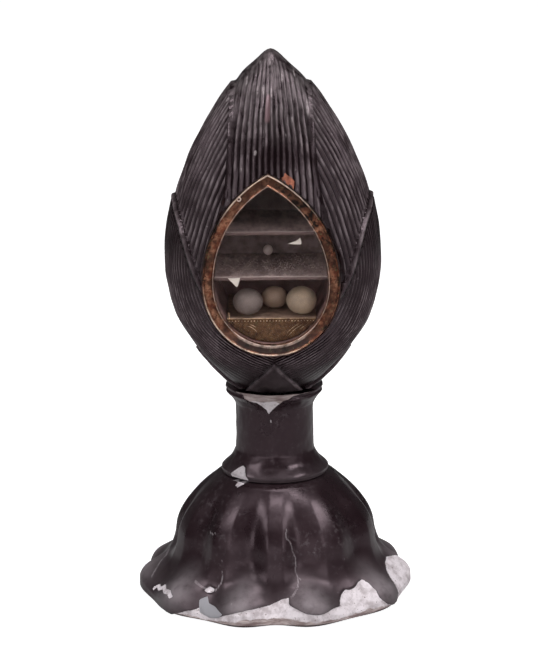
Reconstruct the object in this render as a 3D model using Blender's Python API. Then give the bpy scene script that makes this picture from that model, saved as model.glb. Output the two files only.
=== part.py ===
"""Lotus-bud reliquary: lobed foot, turned neck, veined bud with a glazed niche.

The object stands on the plane z = 0 with its axis on the Z axis. Its window looks along -Y.
Azimuths are measured round the axis from the front (-Y) towards +X.
"""

import math

import bmesh
import bpy
import numpy as np
from mathutils.geometry import delaunay_2d_cdt

# Room left between two pieces that touch
CLEARANCE = 0.0003

# Foot: an inverted lotus leaf with rounded lobes and a thick, wavy lip
FOOT_HEIGHT = 0.0290
FOOT_TOP_RADIUS = 0.0130
FOOT_WALL_RADIUS = 0.0248
FOOT_RIM_RADIUS = 0.0328
FOOT_LIP_HEIGHT = 0.0046
FOOT_LIP_EDGE = 0.0008
FOOT_LOBES = 12
FOOT_GROOVE_DEPTH = 0.0024
FOOT_RIM_WAVE = 0.0007
FOOT_LIP_WAVE = 0.0009
FOOT_FRONT_DIP = 0.0015
FOOT_DIP_ANGLE = math.radians(11)
FOOT_COLUMNS_PER_LOBE = 6

# Neck: a straight stem between a collar and a double-lipped cup
NECK_HEIGHT = 0.0211
NECK_STEM_RADIUS = 0.0094
NECK_COLLAR_RADIUS = 0.0129
NECK_COLLAR_HEIGHT = 0.0062
NECK_COLLAR_EDGE = 0.0011
NECK_CUP_RADIUS = 0.0117
NECK_CUP_HEIGHT = 0.0052
NECK_LIP_HEIGHT = 0.0008
NECK_LIP_NOTCH = 0.0004
NECK_SIDES = 32

# Bud: the innermost layer of petals, as a profile in shares of its height and greatest radius
BUD_HEIGHT = 0.0793
BUD_RADIUS = 0.0238
BUD_PROFILE = (
    (0.00, 0.345),
    (0.05, 0.505),
    (0.12, 0.700),
    (0.22, 0.898),
    (0.375, 1.000),
    (0.555, 0.931),
    (0.70, 0.766),
    (0.83, 0.530),
    (0.93, 0.286),
    (0.975, 0.120),
)
BUD_TIP_RING_SIDES = 16
BUD_BOTTOM_SIDES = 24
BUD_VEIN_STEP = 0.0108
BUD_MARGIN_STEP = 0.0050
BUD_SEAM_STEP = 0.0040
BUD_END_MARGIN = 0.0014

# No petal spreads further from its middle than this
PETAL_REACH = math.radians(100)

# Points of the bud's net this close to the front or back seam are put on it
SEAM_SNAP = 0.0002
TOLERANCE = 1e-6

# Names of the petal layers
CORE = "core"
SIDE = "side"
FACE = "face"
OUTER = "outer"
BASE = "base"

# Height of each layer of petals above the innermost one
SIDE_PETAL_RISE = 0.0010
FACE_PETAL_RISE = 0.0013
OUTER_PETAL_RISE = 0.0017
BASE_PETAL_RISE = 0.0023

# Heights of the petal tips above the bottom of the bud
SIDE_PETAL_TIP = 0.0714
OUTER_PETAL_TIP = 0.0457
BASE_PETAL_TIP = 0.0088
PETAL_BAND_HALF_WIDTH = 0.0100
SIDE_PETAL_TAPER = 0.0060

# Where the outer petals meet, as a share of their tips' height, and how far each spreads there
OUTER_PETAL_MEETING = 0.260
OUTER_PETAL_SPREAD = math.radians(91)

# A petal's outline is followed by this many steps, crowded towards its tip by this power
MARGIN_STEPS = 48
MARGIN_CROWDING = 1.6

# Raised margin of a petal and the groove inside it
MARGIN_SLOPE = 0.0003
MARGIN_RIM = 0.0005
MARGIN_GROOVE = 0.0009
MARGIN_VEIN_START = 0.0014
MARGIN_GROOVE_DEPTH = 0.0005

# Veins: raised ridges side by side along each petal
VEIN_PITCH = 0.0015
VEIN_DEPTH = 0.0004

# How the veins draw together where the bud narrows: the share of its greatest radius at which
# they lie a pitch apart, and the power of the radius that their distance follows
VEIN_GATHERING = {
    CORE: (0.90, 0.37),
    FACE: (0.90, 0.37),
    SIDE: (0.94, 0.70),
    OUTER: (1.00, -0.80),
}

# Shares of the bud's height between which the veins die away, below and above
VEIN_FADE_LOW = (0.03, 0.12)
VEIN_FADE_HIGH = (0.93, 0.975)

# Window: a drop outline, pointed above and round below, with its gilt frame and its pane,
# set a little to the left of the middle and leaning a little to the left
WINDOW_HALF_WIDTH = 0.0157
WINDOW_ARCH_HEIGHT = 0.0255
WINDOW_BOWL_DEPTH = 0.0168
WINDOW_HEIGHT = 0.0278
WINDOW_LEFT_SHIFT = 0.0005
WINDOW_LEAN = math.radians(1.3)
FRAME_WIDTH = 0.0027
FRAME_DEPTH = 0.0017
FRAME_PROUD = 0.0005
FRAME_BEAD = 0.0004
FRAME_REBATE = 0.0003
GLASS_THICKNESS = 0.0008
GLASS_OVERLAP = 0.0012
NICHE_DEPTH = 0.0262
OUTLINE_ARCH_STEPS = 10
OUTLINE_BOWL_STEPS = 10

# Shelves and ledge, as heights above (or below) the widest level of the window
SHELF_THICKNESS = 0.0008
UPPER_SHELF_RISE = 0.0118
MIDDLE_SHELF_RISE = 0.0013
LEDGE_DROP = 0.0086
LEDGE_SHEET = 0.0006

# Relics: radius, place left or right of the axis and depth behind the pane
RELIC_LEFT_RADIUS = 0.0032
RELIC_LEFT_OFFSET = 0.0059
RELIC_MIDDLE_RADIUS = 0.00275
RELIC_MIDDLE_OFFSET = 0.0002
RELIC_MIDDLE_BACK = 0.0068
RELIC_RIGHT_RADIUS = 0.0033
RELIC_RIGHT_OFFSET = 0.0065
RELIC_SMALL_RADIUS = 0.00115
RELIC_SMALL_OFFSET = 0.0012
RELIC_SMALL_BACK = 0.0215

# Relics are pebbles, hollowed here and there by this share of their radius in slow waves
RELIC_UNEVENNESS = 0.03
RELIC_WAVES = 2
RELIC_DETAIL = 3
SMALL_RELIC_DETAIL = 2

# Heights that follow from the sizes above
NECK_BOTTOM = FOOT_HEIGHT + CLEARANCE
NECK_TOP = NECK_BOTTOM + NECK_HEIGHT
BUD_BOTTOM = NECK_TOP + CLEARANCE
BUD_TOP = BUD_BOTTOM + BUD_HEIGHT
WINDOW_Z = BUD_BOTTOM + WINDOW_HEIGHT


def clear_scene():
    for existing in list(bpy.data.objects):
        bpy.data.objects.remove(existing, do_unlink=True)


def make_material(name, colour, roughness, metallic=0.0, transmission=0.0):
    material = bpy.data.materials.new(name)
    material.use_nodes = True
    shader = material.node_tree.nodes["Principled BSDF"]
    shader.inputs["Base Color"].default_value = (*colour, 1.0)
    shader.inputs["Roughness"].default_value = roughness
    shader.inputs["Metallic"].default_value = metallic
    shader.inputs["Transmission Weight"].default_value = transmission
    return material


def make_object(name, vertices, faces, material, sharp_angle=math.radians(35)):
    mesh = bpy.data.meshes.new(name)
    mesh.from_pydata([tuple(float(c) for c in v) for v in vertices], [], faces)
    mesh.update()
    mesh.shade_smooth()
    mesh.set_sharp_from_angle(angle=sharp_angle)
    mesh.materials.append(material)
    node = bpy.data.objects.new(name, mesh)
    bpy.context.scene.collection.objects.link(node)
    return node


def smooth_curve(points, x):
    """Height at x of a smooth curve through the points, which are sorted by x."""
    xs = [p[0] for p in points]
    ys = [p[1] for p in points]
    last = len(points) - 1
    x = min(max(x, xs[0]), xs[last])
    i = min(max(int(np.searchsorted(xs, x, side="right")) - 1, 0), last - 1)

    def slope(k):
        low = max(k - 1, 0)
        high = min(k + 1, last)
        return (ys[high] - ys[low]) / (xs[high] - xs[low])

    span = xs[i + 1] - xs[i]
    t = (x - xs[i]) / span
    start = (2 * t ** 3 - 3 * t ** 2 + 1) * ys[i] + (t ** 3 - 2 * t ** 2 + t) * span * slope(i)
    end = (3 * t ** 2 - 2 * t ** 3) * ys[i + 1] + (t ** 3 - t ** 2) * span * slope(i + 1)
    return start + end


def ramp(value, start, end):
    return min(max((value - start) / (end - start), 0.0), 1.0)


# The foot


def foot_profile():
    """Rows of the foot from its top to its underside: radius, height, lobe and lip strength."""
    wall = FOOT_WALL_RADIUS - FOOT_TOP_RADIUS
    flare = FOOT_RIM_RADIUS - FOOT_WALL_RADIUS
    return (
        (FOOT_TOP_RADIUS, FOOT_HEIGHT, 0.0, 0.0),
        (FOOT_TOP_RADIUS + 0.17 * wall, 0.965 * FOOT_HEIGHT, 0.25, 0.0),
        (FOOT_TOP_RADIUS + 0.50 * wall, 0.845 * FOOT_HEIGHT, 0.70, 0.0),
        (FOOT_TOP_RADIUS + 0.79 * wall, 0.700 * FOOT_HEIGHT, 1.00, 0.0),
        (FOOT_TOP_RADIUS + 0.94 * wall, 0.570 * FOOT_HEIGHT, 1.00, 0.0),
        (FOOT_WALL_RADIUS, 0.430 * FOOT_HEIGHT, 0.90, 0.1),
        (FOOT_WALL_RADIUS + 0.18 * flare, 0.325 * FOOT_HEIGHT, 0.65, 0.4),
        (FOOT_WALL_RADIUS + 0.50 * flare, 0.240 * FOOT_HEIGHT, 0.30, 0.8),
        (FOOT_WALL_RADIUS + 0.84 * flare, FOOT_LIP_HEIGHT, 0.0, 1.0),
        (FOOT_RIM_RADIUS, 0.55 * FOOT_LIP_HEIGHT, 0.0, 0.8),
        (FOOT_RIM_RADIUS, FOOT_LIP_EDGE, 0.0, 0.3),
        (FOOT_RIM_RADIUS - FOOT_LIP_EDGE, 0.0, 0.0, 0.0),
    )


def foot_point(row, azimuth):
    """Lobes bulge between narrow grooves, and the lip swings out and up at each groove."""
    radius, height, lobe, lip = row
    wave = math.cos(FOOT_LOBES * azimuth)
    cusp = 2 * abs(math.cos(FOOT_LOBES * azimuth / 2)) - 1
    groove = FOOT_GROOVE_DEPTH * lobe * 0.5 * (1 - cusp)
    front = math.exp(-(azimuth / FOOT_DIP_ANGLE) ** 2)
    rim = FOOT_RIM_WAVE * wave + FOOT_FRONT_DIP * front
    on_rim = ramp(radius, FOOT_WALL_RADIUS, FOOT_RIM_RADIUS)
    radius = radius - groove - rim * on_rim
    height = height - lip * FOOT_LIP_WAVE * wave
    return radius * math.sin(azimuth), -radius * math.cos(azimuth), height


def build_foot(material):
    columns = FOOT_LOBES * FOOT_COLUMNS_PER_LOBE
    rows = foot_profile()
    vertices = []
    for row in rows:
        for column in range(columns):
            azimuth = 2 * math.pi * column / columns
            if azimuth > math.pi:
                azimuth -= 2 * math.pi
            vertices.append(foot_point(row, azimuth))
    return make_object("foot", vertices, ring_faces(len(rows), columns), material)


def ring_faces(rows, columns):
    """Quads between rings that run from the top down, with both ends closed."""
    faces = []
    for row in range(rows - 1):
        for column in range(columns):
            after = (column + 1) % columns
            upper = row * columns
            lower = upper + columns
            faces.append((upper + column, lower + column, lower + after, upper + after))
    faces.append(tuple(range(columns)))
    last = (rows - 1) * columns
    faces.append(tuple(last + column for column in reversed(range(columns))))
    return faces


# The neck


def build_neck(material):
    stem = NECK_STEM_RADIUS
    collar_reach = NECK_COLLAR_RADIUS - stem
    cup_reach = NECK_CUP_RADIUS - stem
    collar_slope = NECK_COLLAR_HEIGHT - NECK_COLLAR_EDGE
    lips = NECK_TOP - 2 * NECK_LIP_HEIGHT
    profile = [
        (NECK_CUP_RADIUS - 0.5 * NECK_LIP_NOTCH, NECK_TOP),
        (NECK_CUP_RADIUS, NECK_TOP - 0.5 * NECK_LIP_HEIGHT),
        (NECK_CUP_RADIUS - NECK_LIP_NOTCH, NECK_TOP - NECK_LIP_HEIGHT),
        (NECK_CUP_RADIUS - 0.3 * NECK_LIP_NOTCH, lips),
        (stem + 0.45 * cup_reach, lips - 0.35 * (NECK_CUP_HEIGHT - 2 * NECK_LIP_HEIGHT)),
        (stem + 0.12 * cup_reach, lips - 0.70 * (NECK_CUP_HEIGHT - 2 * NECK_LIP_HEIGHT)),
        (stem, NECK_TOP - NECK_CUP_HEIGHT),
        (stem + 0.02 * collar_reach, NECK_BOTTOM + NECK_COLLAR_HEIGHT),
        (stem + 0.14 * collar_reach, NECK_BOTTOM + NECK_COLLAR_EDGE + 0.72 * collar_slope),
        (stem + 0.45 * collar_reach, NECK_BOTTOM + NECK_COLLAR_EDGE + 0.38 * collar_slope),
        (NECK_COLLAR_RADIUS, NECK_BOTTOM + NECK_COLLAR_EDGE),
        (NECK_COLLAR_RADIUS - 0.3 * NECK_COLLAR_EDGE, NECK_BOTTOM),
    ]
    vertices = []
    for radius, height in profile:
        for side in range(NECK_SIDES):
            azimuth = 2 * math.pi * side / NECK_SIDES
            vertices.append((radius * math.sin(azimuth), -radius * math.cos(azimuth), height))
    return make_object("neck", vertices, ring_faces(len(profile), NECK_SIDES), material)


# The window's outline


def outline_right(inset):
    """Right half of the drop outline, from its tip to its lowest point, round its own centre."""
    half = WINDOW_HALF_WIDTH
    arch_radius = (half ** 2 + WINDOW_ARCH_HEIGHT ** 2) / (2 * half)
    centre = half - arch_radius
    inner_radius = arch_radius - inset
    start = math.acos(-centre / inner_radius)
    points = []
    for step in range(OUTLINE_ARCH_STEPS):
        angle = start * (1 - step / OUTLINE_ARCH_STEPS)
        points.append((centre + inner_radius * math.cos(angle), inner_radius * math.sin(angle)))
    for step in range(OUTLINE_BOWL_STEPS + 1):
        angle = 0.5 * math.pi * step / OUTLINE_BOWL_STEPS
        across = (half - inset) * math.cos(angle)
        points.append((across, -(WINDOW_BOWL_DEPTH - inset) * math.sin(angle)))
    return points


def outline(inset):
    """Closed drop outline in the window's plane, clockwise from its tip, in x and z."""
    right = outline_right(inset)
    left = [(-x, z) for x, z in reversed(right[1:-1])]
    cosine = math.cos(WINDOW_LEAN)
    sine = math.sin(WINDOW_LEAN)
    placed = []
    for x, z in right + left:
        placed.append((x * cosine - z * sine - WINDOW_LEFT_SHIFT, WINDOW_Z + x * sine + z * cosine))
    return placed


def outline_half_width(z, inset=0.0):
    """Half width of the upright drop at a height, or 0 outside it."""
    right = outline_right(inset)
    heights = [p[1] + WINDOW_Z for p in right]
    if z >= heights[0] or z <= heights[-1]:
        return 0.0
    return float(np.interp(-z, [-h for h in heights], [p[0] for p in right]))


def span_at(inset, z):
    """Left and right ends of the leaning outline at a height."""
    points = outline(inset)
    crossings = []
    for (x0, z0), (x1, z1) in zip(points, points[1:] + points[:1]):
        if (z0 - z) * (z1 - z) < 0:
            crossings.append(x0 + (x1 - x0) * (z - z0) / (z1 - z0))
    return min(crossings), max(crossings)


# The bud's surface


def core_radius(z):
    share = (z - BUD_BOTTOM) / BUD_HEIGHT
    return BUD_RADIUS * smooth_curve(BUD_PROFILE, share)


def side_half_angle(z):
    """The side petals leave a band of even width up the front and the back."""
    tip = BUD_BOTTOM + SIDE_PETAL_TIP
    if z >= tip:
        return 0.0
    reach = core_radius(z) + SIDE_PETAL_RISE
    open_angle = math.acos(min(PETAL_BAND_HALF_WIDTH / reach, 1.0))
    tip_angle = math.acos(min(PETAL_BAND_HALF_WIDTH / (core_radius(tip) + SIDE_PETAL_RISE), 1.0))
    return open_angle - tip_angle * ramp(z, tip - SIDE_PETAL_TAPER, tip)


def outer_half_angle(z):
    """The outer petals spread from their tips until they meet under the window."""
    tip = OUTER_PETAL_TIP
    curve = (
        (OUTER_PETAL_MEETING * tip, OUTER_PETAL_SPREAD),
        (0.420 * tip, math.radians(66)),
        (0.565 * tip, math.radians(51.5)),
        (0.670 * tip, math.radians(44.5)),
        (0.780 * tip, math.radians(38)),
        (0.865 * tip, math.radians(31)),
        (0.920 * tip, math.radians(24)),
        (0.965 * tip, math.radians(14)),
        (tip, 0.0),
    )
    height = z - BUD_BOTTOM
    if height >= tip:
        return 0.0
    if height <= curve[0][0]:
        return OUTER_PETAL_SPREAD
    return smooth_curve(curve, height)


def base_half_angle(z):
    tip = BASE_PETAL_TIP
    curve = (
        (0.0, math.radians(36)),
        (0.18 * tip, math.radians(31)),
        (0.60 * tip, math.radians(17)),
        (0.86 * tip, math.radians(8)),
        (tip, 0.0),
    )
    height = z - BUD_BOTTOM
    if height >= tip:
        return 0.0
    return smooth_curve(curve, height)


def face_half_angle(z):
    """The petal on the back has the outline that the window has on the front."""
    width = outline_half_width(z)
    return math.asin(min(width / core_radius(z), 1.0))


HALF_ANGLE = {
    SIDE: side_half_angle,
    OUTER: outer_half_angle,
    BASE: base_half_angle,
    FACE: face_half_angle,
}
RISE = {
    SIDE: SIDE_PETAL_RISE,
    FACE: FACE_PETAL_RISE,
    OUTER: OUTER_PETAL_RISE,
    BASE: BASE_PETAL_RISE,
}
PETAL_SPAN = {
    SIDE: (BUD_BOTTOM, BUD_BOTTOM + SIDE_PETAL_TIP),
    FACE: (WINDOW_Z - WINDOW_BOWL_DEPTH, WINDOW_Z + WINDOW_ARCH_HEIGHT),
    OUTER: (BUD_BOTTOM + OUTER_PETAL_MEETING * OUTER_PETAL_TIP, BUD_BOTTOM + OUTER_PETAL_TIP),
    BASE: (BUD_BOTTOM, BUD_BOTTOM + BASE_PETAL_TIP),
}

# Each petal that the right half of the bud carries, innermost first: layer, azimuth of its middle
PETALS = (
    (SIDE, 0.5 * math.pi),
    (FACE, math.pi),
    (OUTER, 0.5 * math.pi),
    (BASE, 0.0),
    (BASE, 0.5 * math.pi),
    (BASE, math.pi),
)


def on_core(azimuth, z):
    radius = core_radius(z)
    return np.array((radius * math.sin(azimuth), -radius * math.cos(azimuth), z))


def margin_line(petal):
    """Points of a petal's outline on the core, up one side and down the other."""
    layer, middle = petal
    low, high = PETAL_SPAN[layer]
    side = []
    for step in range(MARGIN_STEPS + 1):
        z = high - (high - low) * (step / MARGIN_STEPS) ** MARGIN_CROWDING
        side.append((HALF_ANGLE[layer](z), z))
    left = [on_core(middle - angle, z) for angle, z in reversed(side)]
    right = [on_core(middle + angle, z) for angle, z in side[1:]]
    return np.array(left + right)


MARGINS = {petal: margin_line(petal) for petal in PETALS}


def inside_distance(petal, azimuth, z):
    """Distance from a petal's margin along the surface, positive inside the petal."""
    line = MARGINS[petal]
    point = on_core(azimuth, z)
    starts = line[:-1]
    along = line[1:] - starts
    lengths = np.maximum((along ** 2).sum(axis=1), 1e-18)
    share = np.clip(((point - starts) * along).sum(axis=1) / lengths, 0, 1)
    gaps = np.linalg.norm(starts + along * share[:, None] - point, axis=1)
    layer, middle = petal
    away = abs(azimuth - middle)
    inside = away < HALF_ANGLE[layer](z)
    return float(gaps.min()) if inside else -float(gaps.min())


def vein_spread(layer, z):
    """Distance between neighbouring veins at a height, in pitches."""
    share, power = VEIN_GATHERING[layer]
    return (core_radius(z) / (share * BUD_RADIUS)) ** power


def vein_coordinate(layer, azimuth, z):
    """Distance across the veins: a ridge lies wherever it is a whole number of pitches."""
    if layer == SIDE:
        across = math.cos(azimuth)
    elif layer == OUTER:
        across = 0.5 * math.pi - azimuth
    else:
        across = math.sin(azimuth)
    return core_radius(z) * across / vein_spread(layer, z)


def vein_azimuth(layer, coordinate, z, behind):
    """Azimuth of the vein with this coordinate at a height, or None where it has run out."""
    across = coordinate * vein_spread(layer, z) / core_radius(z)
    if layer == OUTER:
        azimuth = 0.5 * math.pi - across
        return azimuth if 0 < azimuth < math.pi else None
    if abs(across) >= 1:
        return None
    if layer == SIDE:
        return math.acos(across)
    return math.pi - math.asin(across) if behind else math.asin(across)


def vein_strength(z):
    """Veins die away towards the tip and the bottom of the bud."""
    share = (z - BUD_BOTTOM) / BUD_HEIGHT
    return ramp(share, *VEIN_FADE_LOW) * (1 - ramp(share, *VEIN_FADE_HIGH))


def vein_relief(layer, azimuth, z):
    share = vein_coordinate(layer, azimuth, z) / VEIN_PITCH
    fold = abs(share - math.floor(share + 0.5)) * 2
    return -VEIN_DEPTH * fold * vein_strength(z)


def petal_relief(petal, azimuth, z, distance):
    layer = petal[0]
    dip = MARGIN_GROOVE_DEPTH * ramp(distance, MARGIN_RIM, MARGIN_GROOVE)
    rise = ramp(distance, MARGIN_GROOVE, MARGIN_VEIN_START)
    if layer == BASE:
        return RISE[layer] - 0.3 * dip * (1 - rise)
    return RISE[layer] - dip * (1 - rise) + vein_relief(layer, azimuth, z) * rise


def surface_radius(azimuth, z):
    relief = vein_relief(CORE, azimuth, z)
    for petal in PETALS:
        distance = inside_distance(petal, azimuth, z)
        cover = ramp(distance, -MARGIN_SLOPE, 0)
        if cover > 0:
            relief += (petal_relief(petal, azimuth, z, distance) - relief) * cover
    return core_radius(z) + relief


def top_petal(azimuth, z):
    """The layer that shows at a place, or None on a margin or inside the window."""
    inside_window = azimuth < 0.5 * math.pi and (
        core_radius(z) * math.sin(azimuth) < outline_half_width(z, FRAME_WIDTH * 0.5)
    )
    if inside_window:
        return None
    for petal in reversed(PETALS):
        distance = inside_distance(petal, azimuth, z)
        if distance > MARGIN_VEIN_START:
            return petal[0]
        if distance > -MARGIN_SLOPE:
            return None
    return CORE


# The bud's net of lines, laid out flat and then lifted to the surface


class FlatNet:
    """Points and lines on the unrolled right half of the bud: arc along x, height along y."""

    def __init__(self):
        self.points = []
        self.lines = []

    def add_point(self, azimuth, z):
        arc = azimuth * BUD_RADIUS
        if arc < SEAM_SNAP:
            arc = 0.0
        if arc > math.pi * BUD_RADIUS - SEAM_SNAP:
            arc = math.pi * BUD_RADIUS
        self.points.append((arc, z))
        return len(self.points) - 1

    def add_line(self, places):
        numbers = [self.add_point(azimuth, z) for azimuth, z in places]
        self.lines.extend(zip(numbers, numbers[1:]))


def bisect(test, good, bad, steps=18):
    for _ in range(steps):
        middle = 0.5 * (good + bad)
        if test(middle):
            good = middle
        else:
            bad = middle
    return good


def add_vein(net, layer, coordinate, rows, behind=False):
    """Follow one ridge or valley down the bud and keep the stretches where its petal shows."""

    def place(z):
        azimuth = vein_azimuth(layer, coordinate, z, behind)
        if azimuth is None:
            return None
        return azimuth, z

    def shows(z):
        spot = place(z)
        return spot is not None and top_petal(*spot) == layer

    run = []
    for row, z in enumerate(rows):
        if shows(z):
            if not run and row > 0:
                run.append(place(bisect(shows, z, rows[row - 1])))
            run.append(place(z))
        elif run:
            run.append(place(bisect(shows, rows[row - 1], z)))
            net.add_line(run)
            run = []
    if len(run) > 1:
        net.add_line(run)


def add_margin(net, petal, distance, rows):
    """A line at an even distance from a petal's margin, on both sides of its middle."""
    layer, middle = petal
    low, high = PETAL_SPAN[layer]

    def beyond_tip(z):
        return inside_distance(petal, middle, z) < distance

    apex = bisect(beyond_tip, high + MARGIN_VEIN_START, low + 0.3 * (high - low))
    for sign in (-1, 1):
        line = [(middle, apex)]
        for z in rows:
            if z > apex - SEAM_SNAP:
                continue

            def past(azimuth):
                return inside_distance(petal, azimuth, z) < distance

            limit = middle + sign * PETAL_REACH
            if not past(limit):
                break
            azimuth = bisect(past, limit, middle)
            if azimuth < 0 or azimuth > math.pi:
                break
            line.append((azimuth, z))
        if len(line) > 1:
            net.add_line(line)


def spaced(high, low, step):
    count = max(int(round((high - low) / step)), 1)
    return [high - (high - low) * i / count for i in range(count + 1)]


def build_bud_net():
    net = FlatNet()
    ring_top = BUD_BOTTOM + BUD_PROFILE[-1][0] * BUD_HEIGHT
    for side in range(BUD_TIP_RING_SIDES + 1):
        net.add_point(math.pi * side / BUD_TIP_RING_SIDES, ring_top)
    for side in range(BUD_BOTTOM_SIDES + 1):
        net.add_point(math.pi * side / BUD_BOTTOM_SIDES, BUD_BOTTOM)
    for z in spaced(ring_top, BUD_BOTTOM, BUD_SEAM_STEP)[1:-1]:
        net.add_point(0.0, z)
        net.add_point(math.pi, z)
    rows = spaced(ring_top - BUD_END_MARGIN, BUD_BOTTOM + BUD_END_MARGIN, BUD_VEIN_STEP)
    half = 0.5 * VEIN_PITCH
    most = int(0.5 * math.pi * BUD_RADIUS / half) + 2
    for number in range(-most, most + 1):
        coordinate = number * half
        add_vein(net, SIDE, coordinate, rows)
        add_vein(net, OUTER, coordinate, rows)
        if number > 0:
            add_vein(net, CORE, coordinate, rows)
            add_vein(net, CORE, coordinate, rows, behind=True)
            add_vein(net, FACE, coordinate, rows, behind=True)
    for petal in PETALS:
        low, high = PETAL_SPAN[petal[0]]
        step = BUD_MARGIN_STEP if petal[0] != BASE else 0.5 * BUD_MARGIN_STEP
        margin_rows = spaced(high, max(low, BUD_BOTTOM), step)
        near_tip = [high - MARGIN_RIM, high - 3 * MARGIN_RIM]
        margin_rows = sorted(set(margin_rows + near_tip), reverse=True)
        for distance in (-MARGIN_SLOPE, 0.5 * MARGIN_RIM, MARGIN_GROOVE):
            add_margin(net, petal, distance, margin_rows)
    return net


def triangulate(net):
    edges = [(a, b) for a, b in net.lines if a != b]
    result = delaunay_2d_cdt(net.points, edges, [], 0, TOLERANCE)
    return result[0], result[2]


def build_bud_blank(material):
    flat_points, triangles = triangulate(build_bud_net())
    half_turn = math.pi * BUD_RADIUS
    vertices = []
    right = []
    left = []
    for x, z in flat_points:
        azimuth = min(max(x / BUD_RADIUS, 0.0), math.pi)
        radius = surface_radius(azimuth, z)
        right.append(len(vertices))
        vertices.append((radius * math.sin(azimuth), -radius * math.cos(azimuth), z))
        on_seam = x < TOLERANCE or x > half_turn - TOLERANCE
        if on_seam:
            vertices[-1] = (0.0, vertices[-1][1], z)
            left.append(right[-1])
        else:
            left.append(len(vertices))
            vertices.append((-radius * math.sin(azimuth), -radius * math.cos(azimuth), z))
    faces = []
    for a, b, c in triangles:
        faces.append((right[a], right[b], right[c]))
        faces.append((left[a], left[c], left[b]))
    close_ends(vertices, faces)
    return make_object("bud", vertices, faces, material)


def close_ends(vertices, faces):
    """Close the open rings at the tip and at the bottom with a fan each."""
    seen = {}
    for face in faces:
        for a, b in zip(face, face[1:] + face[:1]):
            seen[(a, b)] = face
    open_edges = [edge for edge in seen if (edge[1], edge[0]) not in seen]
    middle = BUD_BOTTOM + 0.5 * BUD_HEIGHT
    tip = len(vertices)
    vertices.append((0.0, 0.0, BUD_TOP))
    bottom = len(vertices)
    vertices.append((0.0, 0.0, BUD_BOTTOM))
    for a, b in open_edges:
        end = tip if vertices[a][2] > middle else bottom
        faces.append((b, a, end))


# The window: what is cut into the bud, and what is set into it


def face_plane():
    """Depth of the plane that the frame's outer edge lies on, as a distance from the axis."""
    reach = core_radius(WINDOW_Z) + SIDE_PETAL_RISE
    return math.sqrt(reach ** 2 - WINDOW_HALF_WIDTH ** 2)


FRAME_FRONT = -(face_plane() + FRAME_PROUD)
FRAME_BACK = FRAME_FRONT + FRAME_DEPTH
GLASS_FRONT = FRAME_BACK + CLEARANCE
GLASS_BACK = GLASS_FRONT + GLASS_THICKNESS
NICHE_FRONT = GLASS_BACK + CLEARANCE
NICHE_BACK = NICHE_FRONT + NICHE_DEPTH
FITTINGS_FRONT = NICHE_FRONT + CLEARANCE
GLASS_INSET = FRAME_WIDTH - GLASS_OVERLAP
NICHE_INSET = FRAME_WIDTH - FRAME_REBATE


def prism(name, steps, material):
    """A body along Y from steps of (inset, y), front to back, each a drop outline."""
    vertices = []
    for inset, y in steps:
        for x, z in outline(inset):
            vertices.append((x, y, z))
    columns = len(outline(0.0))
    faces = []
    for row in range(len(steps) - 1):
        front = row * columns
        back = front + columns
        for column in range(columns):
            after = (column + 1) % columns
            faces.append((front + column, front + after, back + after, back + column))
    faces.append(tuple(reversed(range(columns))))
    last = (len(steps) - 1) * columns
    faces.append(tuple(last + column for column in range(columns)))
    return make_object(name, vertices, faces, material)


def cut(target, cutter):
    difference = target.modifiers.new("cut " + cutter.name, "BOOLEAN")
    difference.operation = "DIFFERENCE"
    difference.solver = "EXACT"
    difference.object = cutter
    cutter.hide_render = True
    cutter.display_type = "WIRE"


def build_niche_cutter(material):
    steps = (
        (-CLEARANCE, -2 * BUD_RADIUS),
        (-CLEARANCE, FRAME_BACK + CLEARANCE),
        (GLASS_INSET - CLEARANCE, FRAME_BACK + CLEARANCE),
        (GLASS_INSET - CLEARANCE, NICHE_FRONT),
        (NICHE_INSET, NICHE_FRONT),
        (NICHE_INSET, NICHE_BACK),
    )
    return prism("niche_cutter", steps, material)


def build_frame(material):
    """A ring with a bright bead round its outer edge and a lip round its inner edge."""
    width = FRAME_WIDTH
    floor = FRAME_FRONT + FRAME_BEAD
    profile = (
        (0.0, FRAME_BACK),
        (0.0, floor),
        (0.14 * width, FRAME_FRONT),
        (0.32 * width, floor),
        (0.70 * width, floor),
        (0.86 * width, FRAME_FRONT + 0.25 * FRAME_BEAD),
        (width, floor),
        (width, FRAME_BACK),
    )
    rings = [outline(inset) for inset, _ in profile]
    columns = len(rings[0])
    vertices = []
    for ring, (_, y) in zip(rings, profile):
        for x, z in ring:
            vertices.append((x, y, z))
    faces = []
    count = len(profile)
    for row in range(count):
        here = row * columns
        there = ((row + 1) % count) * columns
        for column in range(columns):
            after = (column + 1) % columns
            faces.append((here + column, there + column, there + after, here + after))
    return make_object("window_frame", vertices, faces, material)


def box_mesh(low, high):
    corners = [(x, y, z) for z in (low[2], high[2]) for y in (low[1], high[1]) for x in (low[0], high[0])]
    faces = [
        (0, 2, 3, 1),
        (4, 5, 7, 6),
        (0, 1, 5, 4),
        (2, 6, 7, 3),
        (0, 4, 6, 2),
        (1, 3, 7, 5),
    ]
    return corners, faces


def build_shelf(name, top, material):
    left_top, right_top = span_at(NICHE_INSET, top)
    left_low, right_low = span_at(NICHE_INSET, top - SHELF_THICKNESS)
    left = max(left_top, left_low) + CLEARANCE
    right = min(right_top, right_low) - CLEARANCE
    low = (left, FITTINGS_FRONT, top - SHELF_THICKNESS)
    high = (right, NICHE_BACK - CLEARANCE, top)
    corners, faces = box_mesh(low, high)
    return make_object(name, corners, faces, material)


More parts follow.
